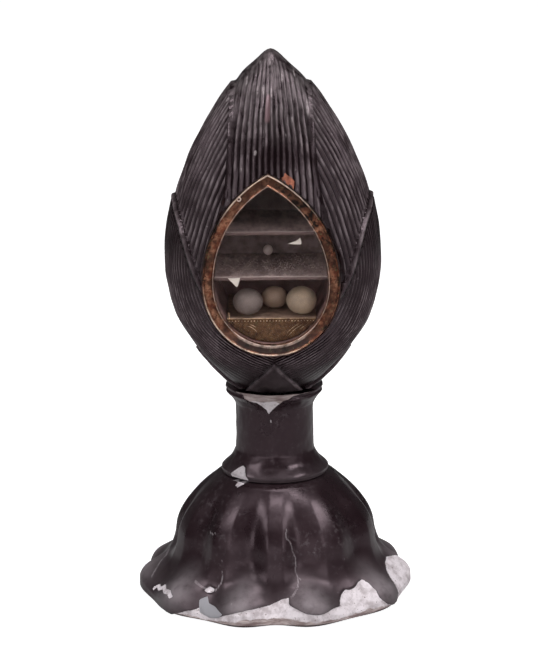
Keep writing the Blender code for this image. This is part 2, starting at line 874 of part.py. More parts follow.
def build_ledge(top, material):
    """A front plate that fills the foot of the niche, bent back at its top as a tray."""
    inset = NICHE_INSET + CLEARANCE
    left, right = span_at(inset, top)
    front = [(x, z) for x, z in outline(inset) if z < top]
    below_right = [p for p in front if p[0] > -WINDOW_LEFT_SHIFT]
    below_left = [p for p in front if p[0] <= -WINDOW_LEFT_SHIFT]
    below_right.sort(key=lambda p: -p[1])
    below_left.sort(key=lambda p: p[1])
    plate = [(right, top)] + below_right + below_left + [(left, top)]
    back = FITTINGS_FRONT + LEDGE_SHEET
    count = len(plate)
    vertices = [(x, FITTINGS_FRONT, z) for x, z in plate] + [(x, back, z) for x, z in plate]
    faces = []
    for number in range(count):
        after = (number + 1) % count
        faces.append((number, after, count + after, count + number))
    faces.append(tuple(reversed(range(count))))
    faces.append(tuple(range(count, 2 * count)))
    ledge = make_object("relic_ledge", vertices, faces, material)
    under = top - LEDGE_SHEET
    left_low, right_low = span_at(inset, under)
    low = (left_low, 0.5 * (FITTINGS_FRONT + back), under)
    high = (right_low, NICHE_BACK - CLEARANCE, top)
    corners, box_faces = box_mesh(low, high)
    tray = make_object("ledge_tray", corners, box_faces, material)
    tray.hide_render = True
    tray.display_type = "WIRE"
    join = ledge.modifiers.new("tray", "BOOLEAN")
    join.operation = "UNION"
    join.solver = "EXACT"
    join.object = tray
    return ledge


def build_relic(name, radius, x, y, rest, material, detail=RELIC_DETAIL):
    """A slightly uneven pebble that rests a clearance above its shelf."""
    form = bmesh.new()
    bmesh.ops.create_icosphere(form, subdivisions=detail, radius=radius)
    for vertex in form.verts:
        direction = vertex.co.normalized()
        wave = math.sin(RELIC_WAVES * (direction.x + direction.z) + x / radius)
        vertex.co = vertex.co * (1 - RELIC_UNEVENNESS * abs(wave))
    lowest = min(vertex.co.z for vertex in form.verts)
    bmesh.ops.translate(form, verts=form.verts, vec=(x, y, rest + CLEARANCE - lowest))
    mesh = bpy.data.meshes.new(name)
    form.to_mesh(mesh)
    form.free()
    mesh.shade_smooth()
    mesh.materials.append(material)
    node = bpy.data.objects.new(name, mesh)
    bpy.context.scene.collection.objects.link(node)
    return node


def build():
    clear_scene()
    lacquer = make_material("black lacquer", (0.020, 0.015, 0.015), 0.32)
    carved = make_material("carved lacquer", (0.028, 0.021, 0.022), 0.45)
    gilt = make_material("gilt copper", (0.36, 0.21, 0.12), 0.38, metallic=0.9)
    glass = make_material("pane", (0.95, 0.97, 0.96), 0.03, transmission=1.0)
    shelf_wood = make_material("shelf lacquer", (0.055, 0.045, 0.045), 0.6)
    grey_relic = make_material("grey relic", (0.24, 0.21, 0.22), 0.55)
    brown_relic = make_material("brown relic", (0.26, 0.20, 0.17), 0.55)
    cream_relic = make_material("cream relic", (0.50, 0.42, 0.32), 0.5)

    build_foot(lacquer)
    build_neck(lacquer)
    bud = build_bud_blank(carved)
    cut(bud, build_niche_cutter(carved))
    build_frame(gilt)
    prism("window_glass", ((GLASS_INSET, GLASS_FRONT), (GLASS_INSET, GLASS_BACK)), glass)

    middle_top = WINDOW_Z + MIDDLE_SHELF_RISE
    ledge_top = WINDOW_Z - LEDGE_DROP
    build_shelf("shelf_upper", WINDOW_Z + UPPER_SHELF_RISE, shelf_wood)
    build_shelf("shelf_middle", middle_top, shelf_wood)
    build_ledge(ledge_top, gilt)

    near = GLASS_BACK + CLEARANCE
    left_y = near + RELIC_LEFT_RADIUS
    right_y = near + RELIC_RIGHT_RADIUS
    middle_y = near + RELIC_MIDDLE_BACK + RELIC_MIDDLE_RADIUS
    small_y = near + RELIC_SMALL_BACK + RELIC_SMALL_RADIUS
    small = (RELIC_SMALL_RADIUS, -RELIC_SMALL_OFFSET, small_y)
    build_relic("relic_left", RELIC_LEFT_RADIUS, -RELIC_LEFT_OFFSET, left_y, ledge_top, grey_relic)
    build_relic("relic_middle", RELIC_MIDDLE_RADIUS, RELIC_MIDDLE_OFFSET, middle_y, ledge_top, brown_relic)
    build_relic("relic_right", RELIC_RIGHT_RADIUS, RELIC_RIGHT_OFFSET, right_y, ledge_top, cream_relic)
    build_relic("relic_small", *small, middle_top, grey_relic, SMALL_RELIC_DETAIL)


build()
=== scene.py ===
"""Reliquary in the form of a lotus bud: lacquered wood, a glazed niche and relics on shelves.

The object stands on z = 0 with its axis on the Z axis, and its window looks along -Y.
Azimuths are measured round the axis from the front towards +X. Lengths are in metres.
"""

import math

import bmesh
import bpy
import numpy as np
from mathutils import Matrix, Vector
from mathutils.geometry import delaunay_2d_cdt


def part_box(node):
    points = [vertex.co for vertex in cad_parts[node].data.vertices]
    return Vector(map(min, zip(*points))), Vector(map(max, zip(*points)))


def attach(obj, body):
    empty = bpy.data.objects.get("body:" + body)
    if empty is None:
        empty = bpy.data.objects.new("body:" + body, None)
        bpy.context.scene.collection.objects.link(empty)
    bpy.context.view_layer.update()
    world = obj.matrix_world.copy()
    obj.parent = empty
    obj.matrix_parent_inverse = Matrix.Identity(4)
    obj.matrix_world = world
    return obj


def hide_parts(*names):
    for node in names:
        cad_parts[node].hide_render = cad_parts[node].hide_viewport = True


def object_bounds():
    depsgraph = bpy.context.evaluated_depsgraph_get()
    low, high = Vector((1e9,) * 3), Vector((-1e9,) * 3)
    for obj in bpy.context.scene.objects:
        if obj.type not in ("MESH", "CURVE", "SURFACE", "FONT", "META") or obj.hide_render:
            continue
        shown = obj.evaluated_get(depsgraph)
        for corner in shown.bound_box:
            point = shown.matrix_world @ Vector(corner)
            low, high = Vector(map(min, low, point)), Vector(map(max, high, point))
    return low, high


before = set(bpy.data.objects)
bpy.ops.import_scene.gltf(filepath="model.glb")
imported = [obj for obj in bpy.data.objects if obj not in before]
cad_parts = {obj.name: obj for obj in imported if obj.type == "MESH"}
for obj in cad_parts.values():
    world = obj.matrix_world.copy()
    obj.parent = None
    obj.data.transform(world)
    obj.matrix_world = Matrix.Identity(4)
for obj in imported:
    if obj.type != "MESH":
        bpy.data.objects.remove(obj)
cad_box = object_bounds()

# The studio: a white table and a white surround, with soft boxes above and at the sides.
# The camera stands a little above the bud and looks down on it through a long lens.

IMAGE_WIDTH = 538
IMAGE_HEIGHT = 667
CAMERA_PLACE = (0.0, -0.580, 0.205)
CAMERA_PITCH = math.radians(13.84)
CAMERA_ROLL = math.radians(-0.546)
FOCAL_LENGTH_PIXELS = 2528
AXIS_PIXEL = 273.8
LOWERED_PIXELS = 1.3
SENSOR_WIDTH = 36.0

TABLE_SIZE = 6.0
TABLE_DROP = 0.0001
TABLE_GLOW = 0.95
TABLE_GREY = 0.58
# The surround is white where it is seen, and dimmer in what the lacquer mirrors
SURROUND_SEEN = 1.05
SURROUND_BEHIND = 0.07
SURROUND_BEFORE = 0.032
# For each light: its place, width, height and power
SOFT_BOXES = {
    "wide overhead soft box": ((0.02, -0.10, 0.80), 0.50, 0.50, 1.1),
    "left overhead soft box": ((-0.015, -0.14, 0.78), 0.08, 0.12, 0.75),
    "right overhead soft box": ((0.160, -0.14, 0.78), 0.08, 0.12, 0.85),
    "left soft box": ((-0.48, -0.15, 0.64), 0.18, 0.22, 1.3),
    "right soft box": ((0.48, -0.15, 0.66), 0.16, 0.20, 1.9),
    "left front soft box": ((-0.50, -0.62, 0.34), 0.50, 0.40, 1.4),
    "right front soft box": ((0.50, -0.62, 0.34), 0.50, 0.40, 1.4),
    "fill from before": ((-0.10, -1.00, 0.17), 0.60, 0.40, 1.0),
}


class Value:
    """A node's output; arithmetic with it adds Math nodes to its tree."""

    def __init__(self, socket):
        self.socket = socket

    def __add__(self, other):
        return calc("ADD", self, other)

    def __sub__(self, other):
        return calc("SUBTRACT", self, other)

    def __rsub__(self, other):
        return calc("SUBTRACT", other, self)

    def __mul__(self, other):
        return calc("MULTIPLY", self, other)

    def __truediv__(self, other):
        return calc("DIVIDE", self, other)

    def __pow__(self, other):
        return calc("POWER", self, other)


def feed(socket, value):
    """Set a socket to a value, or link it to another node's output."""
    if isinstance(value, Value):
        socket.id_data.links.new(value.socket, socket)
    else:
        socket.default_value = value


def add(tree, kind, values=None, **settings):
    """Add a node, set its properties, then feed the inputs that are named or numbered."""
    node = tree.nodes.new(kind)
    for name, value in settings.items():
        setattr(node, name, value)
    for key, value in (values or {}).items():
        feed(node.inputs[key], value)
    return node


def get(tree, kind, values=None, output=0, **settings):
    """Add a node in the same way and take one of its outputs."""
    return Value(add(tree, kind, values, **settings).outputs[output])


def calc(operation, *values, clamp=False):
    """A Math node's result, where one value at least is a node's output."""
    tree = next(value.socket.id_data for value in values if isinstance(value, Value))
    return get(tree, "ShaderNodeMath", dict(enumerate(values)), operation=operation, use_clamp=clamp)


def mixed(share, first, second):
    """Two numbers mixed by a share."""
    return get(share.socket.id_data, "ShaderNodeMix", {0: share, 2: first, 3: second}, data_type="FLOAT")


def new_material(name, constants):
    """A material with its tree and the sockets of its shader, some of them set."""
    material = bpy.data.materials.new(name)
    material.use_nodes = True
    sockets = material.node_tree.nodes["Principled BSDF"].inputs
    for key, value in constants.items():
        sockets[key].default_value = value
    return material, material.node_tree, sockets


def new_object(name, data):
    """An object in the scene."""
    made = bpy.data.objects.new(name, data)
    bpy.context.scene.collection.objects.link(made)
    return made


def plain_object(name, vertices, faces, materials=(), edges=()):
    """A smooth-shaded mesh object in the scene."""
    mesh = bpy.data.meshes.new(name)
    mesh.from_pydata(np.asarray(vertices, float).tolist(), edges, faces)
    mesh.update()
    mesh.shade_smooth()
    for material in materials:
        mesh.materials.append(material)
    return new_object(name, mesh)


camera_data = bpy.data.cameras.new("camera")
camera_data.sensor_width = SENSOR_WIDTH
camera_data.lens = FOCAL_LENGTH_PIXELS * SENSOR_WIDTH / IMAGE_HEIGHT
camera_data.shift_x = (0.5 * IMAGE_WIDTH - AXIS_PIXEL) / IMAGE_HEIGHT
camera_data.shift_y = LOWERED_PIXELS / IMAGE_HEIGHT
camera = new_object("camera", camera_data)
camera.matrix_world = (
    Matrix.Translation(CAMERA_PLACE)
    @ Matrix.Rotation(0.5 * math.pi - CAMERA_PITCH, 4, "X")
    @ Matrix.Rotation(CAMERA_ROLL, 4, "Z")
)
bpy.context.scene.camera = camera
bpy.context.scene.view_settings.view_transform = "Standard"

for name, (place, width, height, power) in SOFT_BOXES.items():
    lamp = bpy.data.lights.new(name, "AREA")
    lamp.shape = "RECTANGLE"
    lamp.size = width
    lamp.size_y = height
    lamp.energy = power
    light = new_object(name, lamp)
    light.location = place
    target = 0.5 * (cad_box[0] + cad_box[1])
    light.rotation_euler = (light.location - target).to_track_quat("Z", "Y").to_euler()

world = bpy.data.worlds.new("white surround")
world.use_nodes = True
bpy.context.scene.world = world
sky = world.node_tree
direction = get(sky, "ShaderNodeSeparateXYZ", {0: get(sky, "ShaderNodeTexCoord", output="Generated")}, "Y")
surround = get(
    sky, "ShaderNodeMapRange",
    {"Value": direction, "From Min": -0.10, "From Max": 0.70,
     "To Min": SURROUND_BEFORE, "To Max": SURROUND_BEHIND},
    "Result", interpolation_type="SMOOTHSTEP",
)
seen = get(sky, "ShaderNodeLightPath", output="Is Camera Ray")
feed(sky.nodes["Background"].inputs["Strength"], mixed(seen, surround, SURROUND_SEEN))
feed(sky.nodes["Background"].inputs["Color"], (1.0, 1.0, 1.0, 1.0))

reach = 0.5 * TABLE_SIZE
white_table, sheet, sockets = new_material("white table", {
    "Base Color": (TABLE_GREY, TABLE_GREY, TABLE_GREY, 1), "Roughness": 0.8, "Emission Color": (1, 1, 1, 1),
})
feed(sockets["Emission Strength"], get(sheet, "ShaderNodeLightPath", output="Is Camera Ray") * TABLE_GLOW)
corners = ((-reach, -reach), (reach, -reach), (reach, reach), (-reach, reach))
table = plain_object("table", [(x, y, -TABLE_DROP) for x, y in corners], [(0, 1, 2, 3)], (white_table,))

# The foot: a block of wood carved as an upturned lotus leaf, with twelve lobes that end in a wavy
# brim. It was coated with white ground and black lacquer, which have flaked off along the brim.
# Its blank is laid out flat, as azimuth against height, and a geometry tree rolls it up.

FOOT_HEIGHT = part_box("foot")[1].z
FOOT_TOP_RADIUS = 0.0130
FOOT_WALL_RADIUS = 0.0248
FOOT_RIM_RADIUS = 0.0323
FOOT_LIP_HEIGHT = 0.0046
FOOT_LIP_EDGE = 0.0008
FOOT_LOBES = 12
FOOT_GROOVE_DEPTH = 0.0034
FOOT_RIM_WAVE = 0.0007
FOOT_LIP_WAVE = 0.0009
FOOT_FRONT_DIP = 0.0015
FOOT_DIP_ANGLE = math.radians(11)
FOOT_GROOVE_SOFTNESS = 0.45
FOOT_COLUMNS = 528
FOOT_STEPS_PER_ROW = 9
FOOT_MIDDLE_RADIUS = 0.5 * (FOOT_WALL_RADIUS + FOOT_RIM_RADIUS)
COAT_THICKNESS = 0.00035
LOSS_REACH = 0.004
DUST_ON_BRIM = 0.16
CRACK_WIDTH = 0.00020
SPECK_SIZE = 0.00028
TO_MILLIMETRES = 1000

# Azimuths of the grooves in degrees: evenly set out, and as the carver's eye placed them
GROOVES_EVEN = tuple(range(-195, 196, 30))
GROOVES_CARVED = (-197, -162, -138, -113, -88, -50, -15, 14.3, 54, 92, 116, 140, 163, 198)

# Where the coating is lost, as azimuth in degrees and height in millimetres
BRIM_LOSS = (
    (-50, -2), (-49, 0.4), (-45, 1.2), (-41, 2.0), (-37, 2.9), (-35, 3.6), (-33.5, 2.4), (-30, 1.6),
    (-25, 2.1), (-22, 3.0), (-17, 4.0), (-12, 4.7), (-7, 4.8), (-3, 5.0), (0, 5.5), (3, 6.2), (5.8, 6.6),
    (5.6, 5.2), (9, 4.5), (12, 3.8), (17, 3.3), (20, 3.4), (25, 4.0), (29, 4.0), (30.2, 4.9), (32.5, 5.9),
    (35.5, 6.6), (38, 6.4), (41, 6.7), (44, 7.5), (47.3, 7.9), (48.6, 6.9), (49, 5.6), (48.4, 4.4),
    (49.5, 3.2), (53, 1.6), (58, 0.6), (62, 0.9), (65, 2.2), (65.5, 3.2), (67, 4.3), (70, 5.9), (72, 6.6),
    (76, 7.6), (82, 8.2), (90, 7.4), (97, 6.2), (102, 4.8), (104, 3.0), (103, 1.2), (99, -2),
)
BACK_LOSSES = (
    ((152, -2), (155, 2.2), (161, 3.4), (168, 2.6), (173, 3.1), (178, 1.0), (180, -2)),
    ((-139, -2), (-136, 1.4), (-130, 2.1), (-124, 1.2), (-121, -2)),
)
COLLAR_LOSS = ((-50, 32.0), (-49, 29.1), (-42, 28.5), (-38, 28.3), (-34, 28.8), (-31, 32.0))
LIP_NICK = ((-37, 6.7), (-35, 7.5), (-32, 7.3), (-32, 6.6), (-35, 6.3))
LEFT_PIT = (
    (-72, 3.0), (-69, 4.4), (-66, 4.2), (-63, 5.3), (-58, 5.2), (-53, 5.7), (-49, 4.8),
    (-50.5, 3.9), (-53, 4.6), (-58, 4.1), (-62, 4.3), (-66, 3.2), (-69, 3.4), (-71, 2.3),
)
GREY_PATCH = (
    (-37, 4.9), (-34, 5.7), (-32, 4.5), (-28, 4.2), (-23, 3.1), (-25, 1.9), (-30, 1.4), (-35, 2.4),
)
# Thin lines in the coating: a crack down the middle lobe and folds over the left ear
CRACKS = (
    ((7, 21.0), (6, 19.2), (9, 18.0), (10, 15.7), (12, 14.1), (11, 11.4), (12, 10.1), (11, 8.6), (7, 6.6)),
    ((-45, 18.8), (-42, 18.4), (-38, 19.0)),
    ((-102, 8.0), (-99, 6.6), (-97.5, 5.1), (-97, 3.4)),
    ((-93, 9.2), (-84, 8.7), (-79, 6.2), (-77, 4.6)),
    ((-44, 8.0), (-40, 7.4), (-37, 7.0), (-31, 7.0), (-29, 8.8), (-30, 11.0)),
)
SPECKS = ((80, 18.7), (13, 9.8), (-31, 13.1), (41, 12.6), (22, 15.2), (-20, 5.6), (31, 6.4))
BARE_WOOD = (
    (-56, -2), (-50, 0.6), (-42, 0.9), (-34, 0.8), (-26, 1.1), (-17, 1.9), (-10, 2.4), (-3, 2.2), (5, 2.1),
    (11, 1.8), (18, 1.5), (26, 1.4), (32, 1.3), (37, 1.4), (43, 1.8), (49, 1.5), (56, 0.8), (64, 0.5),
    (80, 0.5), (110, 0.6), (150, 1.0), (165, 1.6), (180, 0.9), (184, -2),
)


def smooth_curve(points, x):
    """Heights at x of a smooth curve through the points, which are sorted by x."""
    xs, ys = np.array(points, float).T
    last = len(xs) - 1
    low = np.maximum(np.arange(last + 1) - 1, 0)
    high = np.minimum(np.arange(last + 1) + 1, last)
    slopes = (ys[high] - ys[low]) / (xs[high] - xs[low])
    x = np.clip(x, xs[0], xs[last])
    i = np.clip(np.searchsorted(xs, x, side="right") - 1, 0, last - 1)
    span = xs[i + 1] - xs[i]
    t = (x - xs[i]) / span
    start = (2 * t ** 3 - 3 * t ** 2 + 1) * ys[i] + (t ** 3 - 2 * t ** 2 + t) * span * slopes[i]
    end = (3 * t ** 2 - 2 * t ** 3) * ys[i + 1] + (t ** 3 - t ** 2) * span * slopes[i + 1]
    return start + end


def ramp(value, start, end):
    return np.clip((value - start) / (end - start), 0.0, 1.0)


def signed_distance(outline, points):
    """Distance from a closed outline to each point, positive inside it."""
    corners = np.array(outline, float)
    after = np.roll(corners, -1, axis=0)
    along = after - corners
    offset = points[:, None, :] - corners[None]
    share = np.clip((offset * along).sum(2) / (along ** 2).sum(1), 0, 1)
    gap = np.linalg.norm(offset - share[..., None] * along, axis=2).min(1)
    x, y = points[:, :1], points[:, 1:]
    crosses = (corners[:, 1] > y) != (after[:, 1] > y)
    rise = np.where(along[:, 1] == 0, 1.0, along[:, 1])
    crosses &= x < corners[:, 0] + along[:, 0] * (y - corners[:, 1]) / rise
    return np.where(crosses.sum(1) % 2 == 1, gap, -gap)


def line_distance(lines, points):
    """Distance from each point to the nearest of some open lines."""
    best = np.full(len(points), 1.0)
    for line in lines:
        for start, end in zip(line[:-1], line[1:]):
            along = end - start
            share = np.clip((points - start) @ along / max(along @ along, 1e-18), 0, 1)
            best = np.minimum(best, np.linalg.norm(points - start - share[:, None] * along, axis=1))
    return best


def grid_faces(rows, columns, joined=(False, False), flip=False):
    """Quads between the points of a grid, whose rows or columns may be joined last to first."""
    faces = []
    for row in range(rows - (not joined[0])):
        for column in range(columns - (not joined[1])):
            here = row * columns
            there = (row + 1) % rows * columns
            beside = (column + 1) % columns
            face = (here + column, there + column, there + beside, here + beside)
            faces.append((face[0], *face[:0:-1]) if flip else face)
    return faces


def store(mesh, **values):
    """Keep numbers for the vertices under their names; a single number serves them all."""
    for name, each in values.items():
        layer = mesh.attributes.new(name, "FLOAT", "POINT")
        each = np.zeros(len(mesh.vertices), np.float32) + np.asarray(each, np.float32)
        layer.data.foreach_set("value", each)


def new_group(name, kind, inputs, outputs):
    """A node group with named sockets, given by their values or kinds, and its inputs by name."""
    tree = bpy.data.node_groups.new(name, kind)
    kinds = {int: "NodeSocketInt", float: "NodeSocketFloat", tuple: "NodeSocketVector"}
    for label, value in inputs.items():
        if isinstance(value, str):
            tree.interface.new_socket(label, in_out="INPUT", socket_type=value)
        else:
            socket = tree.interface.new_socket(label, in_out="INPUT", socket_type=kinds[type(value)])
            socket.default_value = value
    for label, kind in outputs.items():
        tree.interface.new_socket(label, in_out="OUTPUT", socket_type=kind)
    return tree, {socket.name: Value(socket) for socket in add(tree, "NodeGroupInput").outputs}


def new_tree(name, inputs):
    """A geometry tree that takes a geometry, numbers and a material."""
    inputs = {"Geometry": "NodeSocketGeometry", **inputs, "Material": "NodeSocketMaterial"}
    return new_group(name, "GeometryNodeTree", inputs, {"Geometry": "NodeSocketGeometry"})


def end_tree(tree, start, geometry):
    """Close a tree: instances made real, the material set."""
    real = get(tree, "GeometryNodeRealizeInstances", {"Geometry": geometry})
    coated = get(tree, "GeometryNodeSetMaterial", {"Geometry": real, "Material": start["Material"]})
    add(tree, "NodeGroupOutput", {"Geometry": coated})
    return tree


def run_tree(blank, tree, values):
    """Run a tree on an object and keep what it makes as the object's own plain mesh."""
    modifier = blank.modifiers.new(tree.name, "NODES")
    modifier.node_group = tree
    for socket in tree.interface.items_tree:
        if socket.in_out == "INPUT" and socket.name in values:
            modifier[socket.identifier] = values[socket.name]
    keep_result(blank)


def keep_result(piece):
    """Replace an object's mesh by what its modifiers make of it, and drop the modifiers."""
    evaluated = piece.evaluated_get(bpy.context.evaluated_depsgraph_get())
    made = bpy.data.meshes.new_from_object(evaluated)
    piece.modifiers.clear()
    piece.data = made
    made.name = piece.name


def noise_value(tree, scale, detail=2.0, roughness=0.5):
    """Even noise between about -0.5 and 0.5 in a geometry tree."""
    return get(tree, "ShaderNodeTexNoise", {"Scale": scale, "Detail": detail, "Roughness": roughness}) - 0.5


def named(tree, name):
    return get(tree, "GeometryNodeInputNamedAttribute", {"Name": name})


def pushed(tree, geometry, direction, distance):
    """A geometry whose points are moved along a direction."""
    offset = get(tree, "ShaderNodeVectorMath", {0: direction, "Scale": distance}, operation="SCALE")
    return get(tree, "GeometryNodeSetPosition", {"Geometry": geometry, "Offset": offset})


def marked(tree, geometry, name, value):
    """A geometry that keeps a value under a name."""
    values = {"Geometry": geometry, "Name": name, "Value": value}
    return get(tree, "GeometryNodeStoreNamedAttribute", values)


def rolled_tree():
    """Rolls a flat blank round the axis, presses the lobes in and sinks the lost coating."""
    tree, start = new_tree("rolled and lobed", {
        "Lobes": 0.0,
        "Groove Depth": 0.0,
        "Groove Softness": 0.1,
        "Rim Wave": 0.0,
        "Lip Wave": 0.0,
        "Front Dip": 0.0,
        "Dip Angle": 1.0,
        "Loss Depth": 0.0003,
        "Ragged Edge": 0.0006,
        "Ragged Scale": 700.0,
        "Unevenness": 0.0002,
        "Uneven Scale": 90.0,
    })
    flat = get(tree, "GeometryNodeInputPosition")
    azimuth, height = (get(tree, "ShaderNodeSeparateXYZ", {0: flat}, axis) for axis in "XZ")
    turn = named(tree, "turn") * start["Lobes"]
    wave = calc("COSINE", turn)
    fold = calc("COSINE", turn * 0.5) ** 2.0 + start["Groove Softness"] ** 2.0
    fold = calc("MINIMUM", calc("SQRT", fold), 1.0)
    press = (1.0 - fold) * named(tree, "lobe") * start["Groove Depth"]
    dip = calc("EXPONENT", (azimuth / start["Dip Angle"]) ** 2.0 * -1.0) * start["Front Dip"]
    rim = (wave * start["Rim Wave"] + dip) * named(tree, "brim")
    radius = named(tree, "radius") - press - rim
    rolled = get(tree, "ShaderNodeCombineXYZ", {
        "X": radius * calc("SINE", azimuth),
        "Y": radius * (calc("COSINE", azimuth) * -1.0),
        "Z": height - wave * start["Lip Wave"] * named(tree, "lip"),
    })
    placed = get(tree, "GeometryNodeSetPosition", {"Geometry": start["Geometry"], "Position": rolled})
    joined = get(tree, "GeometryNodeMergeByDistance", {"Geometry": placed, "Distance": 0.000005})
    bare = named(tree, "loss") + noise_value(tree, start["Ragged Scale"], 4.0, 0.6) * start["Ragged Edge"]
    edge = {"Value": bare, "From Min": -0.00005, "From Max": 0.00012}
    sunk = get(tree, "ShaderNodeMapRange", edge, "Result")
    uneven = noise_value(tree, start["Uneven Scale"], 1.0) * start["Unevenness"] - start["Unevenness"] * 0.5
    shift = uneven * named(tree, "free") - sunk * start["Loss Depth"]
    lost = marked(tree, joined, "bare", bare * TO_MILLIMETRES)
    return end_tree(tree, start, pushed(tree, lost, get(tree, "GeometryNodeInputNormal"), shift))


ROLLED = rolled_tree()


def rolled_blank(name, rows, turn, azimuth):
    """A flat sheet: azimuth along x, height along z, the other sizes of each row as attributes."""
    count, columns = len(rows["height"]), len(turn)
    vertices = np.zeros((count, columns, 3))
    vertices[..., 0] = azimuth
    vertices[..., 2] = rows["height"][:, None]
    blank = plain_object(name, vertices.reshape(-1, 3), grid_faces(count, columns))
    sizes = {key: np.repeat(rows.get(key, np.zeros(count)), columns)
             for key in ("radius", "lobe", "lip", "brim", "free")}
    store(blank.data, turn=np.tile(turn, count), **sizes)
    return blank, np.tile(azimuth, count), np.repeat(rows["height"], columns)


def along_profile(profile, steps):
    """A profile's columns as smooth curves, with this many steps from one row to the next."""
    order = np.arange(len(profile))
    place = np.linspace(0, len(profile) - 1, (len(profile) - 1) * steps + 1)
    return [smooth_curve(np.column_stack((order, column)), place) for column in np.transpose(profile)]


def foot_rows():
    """Rows from the middle of the top, down the lobes and the brim, to the middle below."""
    wall = FOOT_WALL_RADIUS - FOOT_TOP_RADIUS
    flare = FOOT_RIM_RADIUS - FOOT_WALL_RADIUS
    profile = (
        (FOOT_TOP_RADIUS, FOOT_HEIGHT, 0.0, 0.0),
        (FOOT_TOP_RADIUS + 0.17 * wall, 0.965 * FOOT_HEIGHT, 0.10, 0.0),
        (FOOT_TOP_RADIUS + 0.50 * wall, 0.845 * FOOT_HEIGHT, 0.42, 0.0),
        (FOOT_TOP_RADIUS + 0.79 * wall, 0.700 * FOOT_HEIGHT, 0.82, 0.0),
        (FOOT_TOP_RADIUS + 0.94 * wall, 0.570 * FOOT_HEIGHT, 1.00, 0.0),
        (FOOT_WALL_RADIUS, 0.430 * FOOT_HEIGHT, 0.90, 0.1),
        (FOOT_WALL_RADIUS + 0.18 * flare, 0.325 * FOOT_HEIGHT, 0.65, 0.4),
        (FOOT_WALL_RADIUS + 0.50 * flare, 0.240 * FOOT_HEIGHT, 0.30, 0.8),
        (FOOT_WALL_RADIUS + 0.84 * flare, FOOT_LIP_HEIGHT, 0.0, 1.0),
        (FOOT_RIM_RADIUS, 0.55 * FOOT_LIP_HEIGHT, 0.0, 0.8),
        (FOOT_RIM_RADIUS, FOOT_LIP_EDGE, 0.0, 0.3),
        (FOOT_RIM_RADIUS - FOOT_LIP_EDGE, 0.0, 0.0, 0.0),
    )
    radius, height, lobe, lip = along_profile(profile, FOOT_STEPS_PER_ROW)
    height = np.clip(height, 0.0, FOOT_HEIGHT)
    free = ramp(height, 0.0, FOOT_LIP_HEIGHT) * ramp(FOOT_HEIGHT - height, 0.0, FOOT_LIP_EDGE)
    top = FOOT_TOP_RADIUS * np.array((0.0, 0.5, 0.9))
    below = (FOOT_RIM_RADIUS - FOOT_LIP_EDGE) * np.array((0.97, 0.8, 0.5, 0.25, 0.0))
    ends = (len(top), len(below))
    radius = np.concatenate((top, np.minimum(radius, FOOT_RIM_RADIUS), below))
    return {
        "radius": radius,
        "height": np.concatenate((np.full(len(top), FOOT_HEIGHT), height, np.zeros(len(below)))),
        "lobe": np.pad(np.clip(lobe, 0, 1), ends),
        "lip": np.pad(np.clip(lip, 0, 1), ends),
        "brim": ramp(radius, FOOT_WALL_RADIUS, FOOT_RIM_RADIUS),
        "free": np.pad(free, ends),
    }


def blend(share, first, second):
    """Two colours mixed by a share; each may be a node's output or three numbers."""
    first, second = (each if isinstance(each, Value) else (*each, 1.0) for each in (first, second))
    values = {0: share, 6: first, 7: second}
    return get(share.socket.id_data, "ShaderNodeMix", values, 2, data_type="RGBA")


def step_up(value, low, high):
    """0 below low, 1 above high, smooth between."""
    values = {"Value": value, "From Min": low, "From Max": high}
    tree = value.socket.id_data
    return get(tree, "ShaderNodeMapRange", values, "Result", interpolation_type="SMOOTHSTEP")


def speckle_group():
    """Patchy noise in two sizes, as a mask with a chosen amount of cover."""
    inputs = {"Scale": 300.0, "Cover": 0.5, "Softness": 0.1, "Stretch": (1.0, 1.0, 1.0)}
    tree, start = new_group("speckle", "ShaderNodeTree", inputs, {"Mask": "NodeSocketFloat"})
    place = get(tree, "ShaderNodeTexCoord", output="Object")
    place = get(tree, "ShaderNodeVectorMath", {0: place, 1: start["Stretch"]}, operation="MULTIPLY")
    values = {"Vector": place, "Scale": start["Scale"], "Detail": 5.0, "Roughness": 0.62}
    noise = get(tree, "ShaderNodeTexNoise", values)
    edge = 0.72 - start["Cover"] * 0.44
    mask = step_up(noise, edge - start["Softness"], edge + start["Softness"])
    add(tree, "NodeGroupOutput", {"Mask": mask})
    return tree


SPECKLE = speckle_group()


def speckle(tree, scale, cover, softness=0.1, stretch=(1.0, 1.0, 1.0)):
    """A placed speckle group's mask."""
    values = {"Scale": scale, "Cover": cover, "Softness": softness, "Stretch": stretch}
    return get(tree, "ShaderNodeGroup", values, "Mask", node_tree=SPECKLE)


def attribute(tree, name):
    return get(tree, "ShaderNodeAttribute", output="Fac", attribute_name=name)


def relief(tree, sockets, scale, detail, distance, strength):
    """Fine noise in a shader's normal."""
    place = get(tree, "ShaderNodeTexCoord", output="Object")
    noise = get(tree, "ShaderNodeTexNoise", {"Vector": place, "Scale": scale, "Detail": detail})
    values = {"Height": noise, "Distance": distance, "Strength": strength}
    feed(sockets["Normal"], get(tree, "ShaderNodeBump", values))


LACQUER_BLACK = (0.0118, 0.0054, 0.0072)
LACQUER_BROWN = (0.0260, 0.0145, 0.0175)
LACQUER_DUST = (0.275, 0.240, 0.255)
LACQUER = {"Specular Tint": (1.0, 0.77, 0.86, 1.0), "Specular IOR Level": 0.42}
GROUND_WHITE = (0.80, 0.735, 0.77)
GROUND_GREY = (0.48, 0.42, 0.44)
WOOD_BEIGE = (0.60, 0.51, 0.50)
WOOD_STAIN = (0.20, 0.145, 0.14)
WOOD_CONTACT_SHADE = (0.022, 0.012, 0.014)
PATCH_GREY = (0.33, 0.325, 0.35)
CRACK_BLACK = (0.004, 0.003, 0.003)
BARE_ROUGHNESS = 0.85


